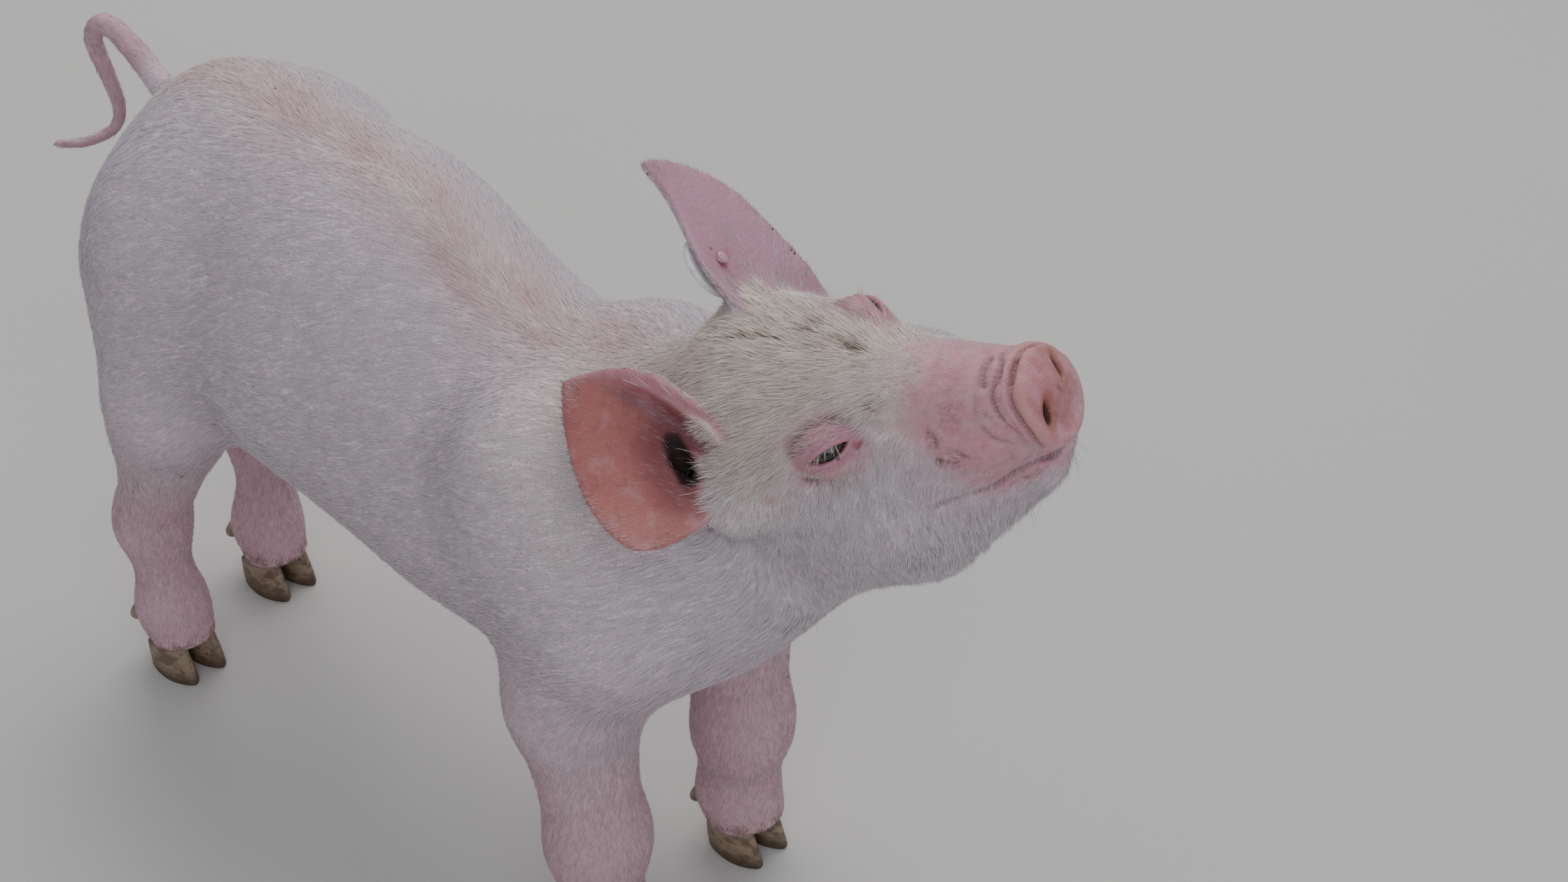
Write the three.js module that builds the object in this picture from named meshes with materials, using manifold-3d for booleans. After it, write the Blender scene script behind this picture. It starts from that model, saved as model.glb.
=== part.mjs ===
// A young piglet of about nine kilograms, standing square with its head raised and turned to its left.
// Millimetres, +X towards the shoulders, +Y to the animal's left, +Z up, the soles of the claws at z = 0.
import * as THREE from 'three';
import { mergeVertices } from 'three/addons/utils/BufferGeometryUtils.js';
import Module from 'manifold-3d';

const wasm = await Module();
wasm.setup();

// ---- driving sizes ----
const GAP = 0.3; // space left between neighbouring pieces
const CELLS = { // mesh sizes along each axis
  trunk: [25, 16, 16],
  neck: [16, 16, 16],
  head: [9.8, 9.8, 9.8],
  disc: [8, 8, 8],
  leg: [12.5, 12.5, 17],
};

const DISC_AT = [257, 32, 345.5]; // middle of the rooting disc
const HEAD_YAW = 12; // degrees to the animal's left
const HEAD_PITCH = 26; // degrees up
const HEAD_ROLL = 29; // degrees, left side up
const DISC_TILT = 15; // degrees the disc is pushed up out of the line of the muzzle
const DISC_TURN = 9; // degrees it is pushed to the left
const DISC = { thick: 4.6, wide: 21, high: 17.5 }; // half sizes
const EYE_RADIUS = 10.5;
const EYE = { back: -81, out: 26, up: 19.5 }; // centre of each eyeball in the head's frame

const EAR_ROOT = 12; // how far each ear is let into the head
const EAR_THICKNESS = 4.6;

const TAIL_RADIUS = [7.5, 3.2]; // at the root and near the tip
const TAG = { radius: 13.5, thick: 2.4, pin: 1.8, stud: 2.8 };

const CLAW = { length: 31, width: 14.5, apart: 8.6, front: 21, slope: 0.3 };
const DEWCLAW = { length: 15, radius: 4.4, apart: 8.5 };

// ---- small vector helpers on plain arrays ----
const add = (a, b) => [a[0] + b[0], a[1] + b[1], a[2] + b[2]];
const sub = (a, b) => [a[0] - b[0], a[1] - b[1], a[2] - b[2]];
const scale = (a, s) => [a[0] * s, a[1] * s, a[2] * s];
const dot = (a, b) => a[0] * b[0] + a[1] * b[1] + a[2] * b[2];
const cross = (a, b) => [a[1] * b[2] - a[2] * b[1], a[2] * b[0] - a[0] * b[2], a[0] * b[1] - a[1] * b[0]];
const length = (a) => Math.hypot(a[0], a[1], a[2]);
const unit = (a) => scale(a, 1 / (length(a) || 1));
const mix = (a, b, t) => a + (b - a) * t;
const clamp = (v, low, high) => Math.min(high, Math.max(low, v));
const radians = THREE.MathUtils.degToRad;

// ---- distance fields: each mass of flesh is a function of a point ----
function ellipsoid(centre, radii) {
  return (p) => {
    const q = [(p[0] - centre[0]) / radii[0], (p[1] - centre[1]) / radii[1], (p[2] - centre[2]) / radii[2]];
    const k = length(q);
    const g = length([q[0] / radii[0], q[1] / radii[1], q[2] / radii[2]]);
    return g < 1e-9 ? -Math.min(...radii) : (k * (k - 1)) / g;
  };
}

// A limb segment whose radius runs from ra at a to rb at b.
function limb(a, b, ra, rb) {
  const ab = sub(b, a);
  const long = dot(ab, ab);
  return (p) => {
    const t = clamp(dot(sub(p, a), ab) / long, 0, 1);
    return length(sub(p, add(a, scale(ab, t)))) - mix(ra, rb, t);
  };
}

const smoothMin = (a, b, k) => {
  const h = Math.max(k - Math.abs(a - b), 0) / k;
  return Math.min(a, b) - (h * h * k) / 4;
};

// Masses that flow into each other over a width of about k.
const blend = (k, ...masses) => (p) => masses.reduce((d, mass) => smoothMin(d, mass(p), k), 1e3);

// ---- frames: an origin and three axes, turning a field in local places into one in the animal's ----
function frame(origin, forward, up) {
  const x = unit(forward);
  const y = unit(cross(up, x));
  return { origin, x, y, z: cross(x, y) };
}

const outOf = (f, p) => add(f.origin, add(scale(f.x, p[0]), add(scale(f.y, p[1]), scale(f.z, p[2]))));
const turned = (f, v) => sub(outOf(f, v), f.origin);
const into = (f, p) => {
  const d = sub(p, f.origin);
  return [dot(d, f.x), dot(d, f.y), dot(d, f.z)];
};
const placed = (f, field) => (p) => field(into(f, p));

// The head's frame: origin at the disc, +X along the muzzle, +Z out of the forehead.
const headTurn = new THREE.Euler(radians(HEAD_ROLL), radians(-HEAD_PITCH), radians(HEAD_YAW), 'ZYX');
const headAxis = (v) => new THREE.Vector3(...v).applyEuler(headTurn).toArray();
const head = frame(DISC_AT, headAxis([1, 0, 0]), headAxis([0, 0, 1]));

// ---- the trunk ----
const trunkField = blend(34,
  ellipsoid([-160, 0, 258], [58, 60, 70]), // rump
  ellipsoid([-88, 0, 234], [102, 74, 88]), // loin
  ellipsoid([12, 0, 208], [102, 74, 74]), // ribs
  ellipsoid([76, 0, 208], [66, 68, 65]), // shoulders
  ellipsoid([114, 0, 210], [40, 44, 40]), // brisket
);

// ---- the legs, each from its joints down ----
const legs = {
  front_left: {
    elbow: [88, 50, 150], carpus: [94, 49, 70], fetlock: [94, 47, 32], foot: [101, 47, 14],
  },
  front_right: {
    elbow: [88, -51, 150], carpus: [97, -48, 70], fetlock: [98, -47, 32], foot: [105, -47, 14],
  },
  hind_left: {
    stifle: [-163, 47, 182], hock: [-211, 34, 88], fetlock: [-208, 29, 34], foot: [-200, 28, 14],
  },
  hind_right: {
    stifle: [-160, -52, 182], hock: [-197, -47, 88], fetlock: [-194, -44, 34], foot: [-186, -44, 14],
  },
};

function frontLegField({ elbow, carpus, fetlock, foot }) {
  const side = Math.sign(foot[1]);
  return blend(14,
    limb([60, 38 * side, 250], [104, 42 * side, 196], 34, 32), // shoulder blade
    limb([104, 44 * side, 194], elbow, 32, 28), // upper arm
    limb(elbow, carpus, 28, 20), // forearm
    limb(add(carpus, [2, 0, 8]), carpus, 20, 19.5),
    limb(carpus, fetlock, 17.5, 16.5), // cannon
    limb(fetlock, foot, 17.5, 17), // pastern
  );
}

function hindLegField({ stifle, hock, fetlock, foot }) {
  const side = Math.sign(foot[1]);
  return blend(14,
    limb([-160, 36 * side, 258], stifle, 44, 30), // thigh
    limb([-182, 34 * side, 236], [-178, 42 * side, 160], 36, 28), // ham
    limb(stifle, hock, 29, 16), // gaskin
    limb(add(hock, [-7, 0, 12]), hock, 8, 13), // point of the hock
    limb(hock, fetlock, 15, 14.5), // cannon
    limb(fetlock, foot, 16, 15.5), // pastern
  );
}

const legFields = {
  front_left: frontLegField(legs.front_left),
  front_right: frontLegField(legs.front_right),
  hind_left: hindLegField(legs.hind_left),
  hind_right: hindLegField(legs.hind_right),
};

// ---- the neck and the head ----
const neckField = blend(20,
  limb([70, 0, 217], outOf(head, [-120, 0, 0]), 58, 42),
  limb([112, 0, 210], outOf(head, [-96, 0, -44]), 44, 38), // throat
);

const skullField = blend(12,
  ellipsoid([-116, 0, 12], [40, 41, 38]), // braincase
  ellipsoid([-90, 0, 12], [36, 35, 31]), // forehead
  ellipsoid([-94, 26, -30], [42, 25, 36]), // left jowl
  ellipsoid([-94, -26, -30], [42, 25, 36]), // right jowl
  limb([-72, 0, 2], [-14, 0, 0], 29, 18.5), // muzzle
  limb([-66, 14, -16], [-22, 8, -11], 22, 11), // upper lips
  limb([-66, -14, -16], [-22, -8, -11], 22, 11),
  limb([-80, 20, -48], [-24, 8, -33], 23.5, 12), // lower jaw, left and right halves
  limb([-80, -20, -48], [-24, -8, -33], 23.5, 12),
);

const discTurn = new THREE.Euler(0, radians(-DISC_TILT), radians(DISC_TURN), 'ZYX');
const discAxis = (v) => new THREE.Vector3(...v).applyEuler(discTurn).toArray();
const discFrame = frame([0, 0, 0], discAxis([1, 0, 0]), discAxis([0, 0, 1]));
const discField = placed(discFrame, (p) => {
  const flat = Math.abs(p[0] + DISC.thick - 1) - DISC.thick + 3;
  const round = (Math.hypot(p[1] / DISC.wide, p[2] / DISC.high) - 1) * DISC.high + 3;
  return Math.hypot(Math.max(flat, 0), Math.max(round, 0)) + Math.min(Math.max(flat, round), 0) - 3;
});
const headField = placed(head, (p) => smoothMin(skullField(p), discField(p), 7));

// ---- the ears: cupped leaves, open to their own +Z, the tip along their own +X, on a bulb of gristle ----
const ears = {
  right: {
    frame: frame(outOf(head, [-129, -37, 27]), [-0.97, -0.15, 0.2], [0.15, -0.7, 0.7]),
    side: -1, // the front margin lies on this side of the local Y axis
    long: 69,
    depth: 17,
    // each margin: how far it stands off the line to the tip, where it is widest, how it tapers
    front: { width: 21, widest: 0.42, root: 0.75, taper: 0.85 },
    rear: { width: 41, widest: 0.12, root: 0.32, taper: 0.85 },
    bulb: [[14, 3, -8], [-12, 5, -12], 8.5, 13],
  },
  left: {
    frame: frame(outOf(head, [-128, 35, 27]), [-0.715, -0.13, 0.655], [0.5, 0.26, 0.82]),
    side: 1,
    long: 72,
    depth: 12,
    front: { width: 26, widest: 0, root: 1, taper: 3.1 },
    rear: { width: 30, widest: 0.46, root: 2, taper: 0.62 },
    bulb: [[0, -5, -8], [-14, -5, -10], 9, 14],
  },
};

const bulbField = (p) => Math.min(...Object.values(ears).map((ear) => placed(ear.frame, limb(...ear.bulb))(p)));

// ---- trunk, legs, neck and head as one field ----
const fleshField = (p) => {
  const limbs = Math.min(...Object.values(legFields).map((field) => field(p)));
  const torso = smoothMin(smoothMin(trunkField(p), neckField(p), 30), limbs, 22);
  return smoothMin(smoothMin(torso, headField(p), 16), bulbField(p), 8);
};

// ---- from a field to a closed mesh: surface nets, each vertex then drawn onto the surface ----
function gradient(field, p) {
  const e = 0.5;
  return unit([0, 1, 2].map((i) => {
    const q = [0, 0, 0];
    q[i] = e;
    return field(add(p, q)) - field(sub(p, q));
  }));
}

function surfaceNets(field, from, to, cell) {
  const low = sub(from, scale(cell, 2));
  const n = [0, 1, 2].map((i) => Math.ceil((to[i] - low[i]) / cell[i]) + 3);
  const index = (i, j, k) => i + n[0] * (j + n[1] * k);
  const point = (i, j, k) => [low[0] + i * cell[0], low[1] + j * cell[1], low[2] + k * cell[2]];
  const value = new Float32Array(n[0] * n[1] * n[2]);
  for (let k = 0; k < n[2]; k++)
    for (let j = 0; j < n[1]; j++)
      for (let i = 0; i < n[0]; i++) {
        const rim = [i, j, k].some((v, axis) => v === 0 || v === n[axis] - 1);
        value[index(i, j, k)] = rim ? cell[0] : field(point(i, j, k));
      }
  const corners = [0, 1, 2, 3, 4, 5, 6, 7].map((c) => [c & 1, (c >> 1) & 1, (c >> 2) & 1]);
  const vertexOf = new Int32Array(value.length).fill(-1);
  const vertices = [];
  for (let k = 0; k < n[2] - 1; k++)
    for (let j = 0; j < n[1] - 1; j++)
      for (let i = 0; i < n[0] - 1; i++) {
        const sum = [0, 0, 0];
        let crossings = 0;
        corners.forEach((a, ia) => {
          const va = value[index(i + a[0], j + a[1], k + a[2])];
          [1, 2, 4].forEach((step) => {
            if (ia & step) return;
            const b = corners[ia | step];
            const vb = value[index(i + b[0], j + b[1], k + b[2])];
            if (va < 0 === vb < 0) return;
            const t = va / (va - vb);
            for (let axis = 0; axis < 3; axis++) sum[axis] += mix(a[axis], b[axis], t);
            crossings++;
          });
        });
        if (!crossings) continue;
        vertexOf[index(i, j, k)] = vertices.length;
        vertices.push(add(point(i, j, k), sum.map((v, axis) => (v * cell[axis]) / crossings)));
      }
  const triangles = [];
  for (let k = 0; k < n[2] - 1; k++)
    for (let j = 0; j < n[1] - 1; j++)
      for (let i = 0; i < n[0] - 1; i++) {
        const here = value[index(i, j, k)] < 0;
        [[1, 0, 0], [0, 1, 0], [0, 0, 1]].forEach((d, axis) => {
          const there = value[index(i + d[0], j + d[1], k + d[2])] < 0;
          if (here === there) return; // on the rim both ends are outside, so the steps back below exist
          const [u, w] = [[0, 0, 0], [0, 0, 0]];
          u[(axis + 1) % 3] = 1;
          w[(axis + 2) % 3] = 1;
          const step = (a, b, m) => a * u[m] + b * w[m];
          const at = (a, b) => vertexOf[index(i - step(a, b, 0), j - step(a, b, 1), k - step(a, b, 2))];
          const quad = [at(0, 0), at(1, 0), at(1, 1), at(0, 1)];
          if (!here) quad.reverse();
          triangles.push(quad[0], quad[1], quad[2], quad[0], quad[2], quad[3]);
        });
      }
  const settled = vertices.map((v) => {
    let p = v;
    for (let step = 0; step < 3; step++)
      p = add(p, scale(gradient(field, p), -clamp(field(p), -cell[0] / 4, cell[0] / 4)));
    return p;
  });
  return solid(new Float32Array(settled.flat()), new Uint32Array(triangles));
}

function solid(vertProperties, triVerts) {
  return new wasm.Manifold(new wasm.Mesh({ numProp: 3, vertProperties, triVerts }));
}

// ---- solids from rings of points and from plain three.js geometry ----
function loft(rings) {
  const count = rings[0].length;
  const last = (rings.length - 1) * count;
  const triangles = [];
  for (let j = 0; j < count; j++) {
    const next = (j + 1) % count;
    for (let i = 0; i < rings.length - 1; i++) {
      const [a, b] = [i * count + j, i * count + next];
      triangles.push(a, b, b + count, a, b + count, a + count);
    }
  }
  // each end is closed by strips between facing points, which stay inside a cupped ring too
  for (let a = 0; a < count / 2 - 1; a++) {
    const [b, c, d] = [a + 1, count - 2 - a, count - 1 - a];
    triangles.push(a, d, c, a, c, b);
    triangles.push(...[a, c, d, a, b, c].map((k) => last + k));
  }
  const flat = new Float32Array(rings.flat(2));
  const made = solid(flat, new Uint32Array(triangles));
  return made.volume() > 0 ? made : solid(flat, new Uint32Array(triangles.reverse()));
}

function solidOf(geometry, place) {
  const plain = geometry.clone();
  plain.deleteAttribute('normal');
  plain.deleteAttribute('uv');
  const merged = mergeVertices(plain, 1e-3);
  const flat = merged.attributes.position.array;
  for (let i = 0; i < flat.length; i += 3) flat.set(place([flat[i], flat[i + 1], flat[i + 2]]), i);
  return solid(flat, new Uint32Array(merged.index.array));
}

const circle = (count, at) => Array.from({ length: count }, (_, i) => at((2 * Math.PI * i) / count));

// The side of a body that a normal at a point looks to, half a gap short of the plane.
const keep = (body, point, normal) => {
  const n = unit(normal);
  return body.trimByPlane(n, dot(point, n) + GAP / 2);
};

// ---- where the body is parted ----
const CUTS = {
  neck: { at: [88, 2, 262], ahead: [0.86, 0.1, 0.5] },
  head: { at: outOf(head, [-134, 0, -8]), ahead: turned(head, [0.98, 0, -0.2]) },
  disc: { at: outOf(head, [-9.5, 0, -3]), ahead: turned(head, discFrame.x) },
  mouth: { at: outOf(head, [-20, 0, -22]), below: turned(head, [0.06, 0, -1]) },
  chin: { at: outOf(head, [-62, 0, -30]), ahead: turned(head, [0.9, 0, 0.45]) },
};
const LEG_TOP = 141; // height of the leg cuts under the belly; they rise outwards
const LEG_RISE = 0.45;

const back = (v) => scale(v, -1);
const zone = (low, high) => {
  const size = sub(high, low);
  return solidOf(new THREE.BoxGeometry(...size), (p) => add(p, scale(add(low, high), 0.5)));
};

// The space of one leg, drawn in on all sides by a margin, or let out where that is negative.
function legZone(foot, grow) {
  const side = Math.sign(foot[1]);
  const ahead = foot[0] > 0;
  const low = [(ahead ? 50 : -300) + grow, side > 0 ? grow : -200, -60];
  const high = [(ahead ? 200 : -100) - grow, side > 0 ? 200 : -grow, 260];
  const down = unit([0, LEG_RISE * side, -1]);
  return zone(low, high).trimByPlane(down, dot([0, 0, LEG_TOP], down) + grow);
}

// ---- the trunk, the neck, the head and its lower jaw ----
const fleshAt = (low, high, cell) => surfaceNets(fleshField, low, high, cell);
const bodies = {};

bodies.trunk = keep(
  fleshAt([-240, -100, 90], [200, 100, 340], CELLS.trunk), CUTS.neck.at, back(CUTS.neck.ahead),
);
bodies.neck = keep(
  keep(fleshAt([20, -110, 120], [230, 110, 400], CELLS.neck), CUTS.neck.at, CUTS.neck.ahead),
  CUTS.head.at, back(CUTS.head.ahead),
);
const skull = keep(
  keep(fleshAt([80, -90, 200], [290, 120, 430], CELLS.head), CUTS.head.at, CUTS.head.ahead),
  CUTS.disc.at, back(CUTS.disc.ahead),
);
const jawZone = (grow) => zone([60, -120, 160], [340, 140, 460])
  .trimByPlane(unit(CUTS.mouth.below), dot(CUTS.mouth.at, unit(CUTS.mouth.below)) + grow)
  .trimByPlane(unit(CUTS.chin.ahead), dot(CUTS.chin.at, unit(CUTS.chin.ahead)) + grow);
bodies.head = skull.subtract(jawZone(-GAP / 2));
bodies.lower_jaw = skull.intersect(jawZone(GAP / 2));
const discReach = [34, 34, 34];
bodies.snout_disc = keep(
  fleshAt(sub(DISC_AT, discReach), add(DISC_AT, discReach), CELLS.disc),
  CUTS.disc.at, CUTS.disc.ahead,
);

// ---- the legs with their claws and dewclaws; the soles are flat at z = 0 ----
const coronet = (x) => CLAW.front + CLAW.slope * (x - CLAW.length / 2) * 0.8;

function claw(foot, side) {
  const rings = [0, 0.5, 1].map((rise) => circle(10, (turn) => {
    const [c, s] = [Math.cos(turn), Math.sin(turn)];
    const shrink = 1 - 0.2 * rise * rise;
    const x = (CLAW.length / 2) * c * shrink - 5 * rise;
    const y = (CLAW.width / 2) * s * (1 - 0.28 * Math.max(c, 0) ** 2) * (1 - 0.1 * rise);
    return add([foot[0] + x, foot[1] + side * CLAW.apart + y, 0], [0, 0, rise * (coronet(x) - GAP / 2)]);
  }));
  return loft(rings);
}

function dewclaw(fetlock, side, grow) {
  const root = add(fetlock, [-10, side * DEWCLAW.apart, -1]);
  const along = unit([-0.62, 0.12 * side, -0.78]);
  const across = unit(cross(along, [0, 1, 0]));
  const rings = [0, 0.6, 1].map((t) => circle(7, (turn) => {
    const radius = DEWCLAW.radius * Math.sqrt(1.02 - t ** 3) + grow;
    const at = add(root, scale(along, DEWCLAW.length * t + grow * (2 * t - 1)));
    return add(at, add(scale(across, radius * Math.cos(turn)), [0, radius * Math.sin(turn), 0]));
  }));
  return loft(rings);
}

for (const [name, leg] of Object.entries(legs)) {
  const { fetlock, foot } = leg;
  const span = [70, 60, 0];
  const low = [foot[0] - span[0], Math.min(foot[1] * 2.2, 0), -10];
  const high = [foot[0] + span[0], Math.max(foot[1] * 2.2, 0), 190];
  const sole = [foot[0], foot[1], 0];
  const limbBody = fleshAt(low, high, CELLS.leg).intersect(legZone(foot, GAP / 2));
  const up = unit([-CLAW.slope * 0.8, 0, 1]);
  bodies[`${name}_leg`] = limbBody.trimByPlane(up, dot(add(sole, [0, 0, coronet(0) + GAP]), up));
  bodies.trunk = bodies.trunk.subtract(legZone(foot, -GAP / 2));
  [['outer', Math.sign(foot[1])], ['inner', -Math.sign(foot[1])]].forEach(([which, side]) => {
    bodies[`${name}_claw_${which}`] = claw(sole, side);
    bodies[`${name}_dewclaw_${which}`] = dewclaw(fetlock, side, 0);
    bodies[`${name}_leg`] = bodies[`${name}_leg`].subtract(dewclaw(fetlock, side, GAP));
  });
}

// ---- the ears: cupped leaves, let into the head ----
function leaf({ width, widest, root, taper }, t) {
  const s = t > widest ? (t - widest) / (1 - widest) : (widest - t) / root;
  return width * Math.max(1 - s * s, 0) ** (t > widest ? taper : 0.5);
}

function earBody(ear, grow) {
  const rows = 9;
  const columns = 6;
  const rings = Array.from({ length: rows + 1 }, (_, i) => {
    const x = mix(-EAR_ROOT - grow, ear.long + grow, i / rows);
    const t = clamp(x / ear.long, -0.16, 0.995);
    const reach = [leaf(ear.rear, t), leaf(ear.front, t)];
    const at = (v, face) => {
      const across = v * (reach[v > 0 ? 1 : 0] + grow);
      const share = across / (v > 0 ? ear.front.width : ear.rear.width);
      const cup = ear.depth * mix(1, 0.15, clamp(t, 0, 1)) * share * share;
      const half = (EAR_THICKNESS / 2) * (1 - 0.6 * v ** 4) + grow;
      return outOf(ear.frame, [x, across * ear.side, cup + face * half]);
    };
    const steps = Array.from({ length: columns + 1 }, (_, j) => (2 * j) / columns - 1);
    return [...steps.map((v) => at(v, 1)), ...steps.reverse().map((v) => at(v, -1))];
  });
  return loft(rings);
}

for (const [name, ear] of Object.entries(ears)) {
  bodies[`ear_${name}`] = earBody(ear, 0);
  bodies.head = bodies.head.subtract(earBody(ear, GAP));
  bodies.neck = bodies.neck.subtract(earBody(ear, GAP));
}

// ---- the eyes, the nostrils and the tail ----
for (const [name, side] of [['right', -1], ['left', 1]]) {
  const centre = outOf(head, [EYE.back, side * EYE.out, EYE.up]);
  const ball = (radius) => solidOf(new THREE.SphereGeometry(radius, 10, 7), (p) => add(centre, p));
  bodies[`eye_${name}`] = ball(EYE_RADIUS);
  bodies.head = bodies.head.subtract(ball(EYE_RADIUS + GAP));
}

for (const [y, z] of [[-9.8, 2.6], [9.4, 1.2]]) {
  const nostril = solidOf(new THREE.SphereGeometry(1, 8, 6), (p) => (
    outOf(head, outOf(discFrame, [p[0] * 8 + 4, y + p[1] * 4 - p[2] * 1.8, z + p[1] * 2.7 + p[2] * 2.6]))
  ));
  bodies.snout_disc = bodies.snout_disc.subtract(nostril);
}

const tailLine = new THREE.CatmullRomCurve3([
  [-208, 0, 296], [-226, 0, 309], [-244, -2, 319], [-256, -2, 308], [-255, 2, 288],
  [-254, 6, 268], [-257, 3, 256], [-262, -10, 253], [-266, -22, 256],
].map((p) => new THREE.Vector3(...p)));

function tailBody(grow) {
  const count = 16;
  const { normals, binormals } = tailLine.computeFrenetFrames(count);
  return loft(tailLine.getSpacedPoints(count).map((centre, i) => circle(8, (turn) => {
    const radius = mix(TAIL_RADIUS[0], TAIL_RADIUS[1], i / count) * (i === count ? 0.5 : 1) + grow;
    const out = normals[i].clone().multiplyScalar(Math.cos(turn));
    out.addScaledVector(binormals[i], Math.sin(turn));
    return centre.clone().addScaledVector(out, radius).toArray();
  })));
}
bodies.tail = tailBody(0);
bodies.trunk = bodies.trunk.subtract(tailBody(GAP));

// ---- the ear tag: a round button behind the left ear, its pin going through to a small stud ----
const tagAt = outOf(ears.left.frame, [24, 2, 0]);
const tagFrame = frame(tagAt, ears.left.frame.x, add(ears.left.frame.z, scale(ears.left.frame.y, -0.15)));
const turnedDisc = (radius, from, to, count) => loft([from, to].map((z) => (
  circle(count, (turn) => outOf(tagFrame, [radius * Math.cos(turn), radius * Math.sin(turn), z]))
)));
const tagPin = (grow) => turnedDisc(TAG.pin + grow, -3.2, 3.4, 8);
const clearOfEar = (body) => body.subtract(earBody(ears.left, GAP));
bodies.ear_tag = clearOfEar(turnedDisc(TAG.radius, -3 - TAG.thick, -3, 20)).add(tagPin(0));
bodies.ear_tag_stud = clearOfEar(turnedDisc(TAG.stud, 2.7, 4, 12)).subtract(tagPin(GAP));
bodies.ear_left = bodies.ear_left.subtract(tagPin(GAP));

// ---- pieces and their colours ----
const skin = (color, roughness = 0.6) => new THREE.MeshStandardMaterial({ color, roughness, metalness: 0 });
const materials = {
  coat: skin('#d8cfcc'),
  ear: skin('#cf948a'),
  snout: skin('#cf9a92', 0.5),
  eye: skin('#17110f', 0.1),
  claw: skin('#8d7a68', 0.45),
  tag: skin('#e6e7e4', 0.35),
};
const materialOf = (name) => {
  const kinds = Object.keys(materials).filter((kind) => name.includes(kind));
  return materials[kinds.at(-1) ?? 'coat'];
};

// ---- groups: the head's pieces hang from its own frame, each leg's from the middle of its sole ----
const pig = new THREE.Group();
pig.name = 'piglet';
const groups = { raised_head: new THREE.Group() };
groups.raised_head.position.set(...DISC_AT);
groups.raised_head.rotation.copy(headTurn);
for (const [name, { foot }] of Object.entries(legs)) {
  groups[`${name}_limb`] = new THREE.Group();
  groups[`${name}_limb`].position.set(foot[0], foot[1], 0);
}
for (const [name, group] of Object.entries(groups)) {
  group.name = name;
  pig.add(group);
}
pig.updateMatrixWorld(true);

const groupOf = (name) => {
  const leg = Object.keys(legs).find((key) => name.startsWith(key));
  if (leg) return groups[`${leg}_limb`];
  return /^(head|lower|snout|ear|eye)/.test(name) ? groups.raised_head : pig;
};

// The largest part of a body, without the crumbs that two cuts can leave between them.
const whole = (body) => body.decompose().sort((a, b) => b.volume() - a.volume())[0];

for (const [name, body] of Object.entries(bodies)) {
  const mesh = whole(body).getMesh();
  const positions = new Float32Array(mesh.numVert * 3);
  for (let i = 0; i < mesh.numVert; i++)
    positions.set(mesh.vertProperties.subarray(i * mesh.numProp, i * mesh.numProp + 3), i * 3);
  const geometry = new THREE.BufferGeometry();
  geometry.setAttribute('position', new THREE.BufferAttribute(positions, 3));
  geometry.setIndex(new THREE.BufferAttribute(new Uint32Array(mesh.triVerts), 1));
  geometry.applyMatrix4(groupOf(name).matrixWorld.clone().invert());
  geometry.computeVertexNormals();
  const piece = new THREE.Mesh(geometry, materialOf(name).clone());
  piece.name = name;
  groupOf(name).add(piece);
}

export default pig;
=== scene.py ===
# A young piglet standing square with its head raised and turned, as a life-size still model.
import math
import bpy
import numpy as np
from mathutils import Matrix, Vector


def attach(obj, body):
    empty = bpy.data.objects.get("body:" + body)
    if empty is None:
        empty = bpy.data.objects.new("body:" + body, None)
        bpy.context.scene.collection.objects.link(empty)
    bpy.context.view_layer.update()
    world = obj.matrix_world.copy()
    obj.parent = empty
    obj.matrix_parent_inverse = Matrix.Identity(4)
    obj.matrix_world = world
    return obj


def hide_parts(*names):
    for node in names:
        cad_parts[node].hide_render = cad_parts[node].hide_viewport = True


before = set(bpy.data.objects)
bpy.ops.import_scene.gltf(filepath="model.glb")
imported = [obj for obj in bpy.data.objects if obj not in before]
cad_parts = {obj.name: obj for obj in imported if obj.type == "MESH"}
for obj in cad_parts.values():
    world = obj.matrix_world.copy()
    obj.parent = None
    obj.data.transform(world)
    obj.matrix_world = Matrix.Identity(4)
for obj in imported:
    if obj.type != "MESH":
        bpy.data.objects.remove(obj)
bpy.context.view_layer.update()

mm = 0.001  # shapes are worked out in millimetres and become meshes in metres
rng = np.random.default_rng(11)


# Small helpers on arrays of points, one point a row.
def unit(v):
    v = np.asarray(v, float)
    return v / np.maximum(np.linalg.norm(v, axis=-1, keepdims=True), 1e-12)


def mix(a, b, t):
    return a + (b - a) * t


def ease(low, high, x):  # 0 below low, 1 above high, smooth between
    t = np.clip((x - low) / (high - low), 0, 1)
    return t * t * (3 - 2 * t)


def bell(x, wide):
    return np.exp(-(x / wide) ** 2)


def lengthOf(v):
    return np.sqrt(np.einsum("ij,ij->i", v, v))


def alongSkin(v, normal):  # the part of each vector that lies in the surface
    return v - normal * np.einsum("ij,ij->i", v, normal)[:, None]


def softMin(a, b, k):
    h = np.maximum(k - np.abs(a - b), 0) / k
    return np.minimum(a, b) - h * h * k / 4


def softMax(a, b, k):
    return -softMin(-a, -b, k)


def blend(k, *masses):
    total = masses[0]
    for mass in masses[1:]:
        total = softMin(total, mass, k)
    return total


def ellipsoid(p, centre, radii):
    radii = np.float32(radii)
    q = (p - np.float32(centre)) / radii
    k = lengthOf(q)
    return k * (k - 1) / (lengthOf(q / radii) + 1e-9)


def roundedPlate(flat, rim, radius):  # from how far a point is past the faces and past the rim of a plate
    flat, rim = flat + radius, rim + radius
    return np.hypot(np.maximum(flat, 0), np.maximum(rim, 0)) + np.minimum(np.maximum(flat, rim), 0) - radius


def limb(p, a, b, ra, rb):  # a rounded bar whose radius runs from ra at a to rb at b
    a, b = np.float32(a), np.float32(b)
    ab = b - a
    t = np.clip((p - a) @ ab / (ab @ ab), 0, 1)
    return lengthOf(p - a - t[:, None] * ab) - mix(ra, rb, t)


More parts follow.
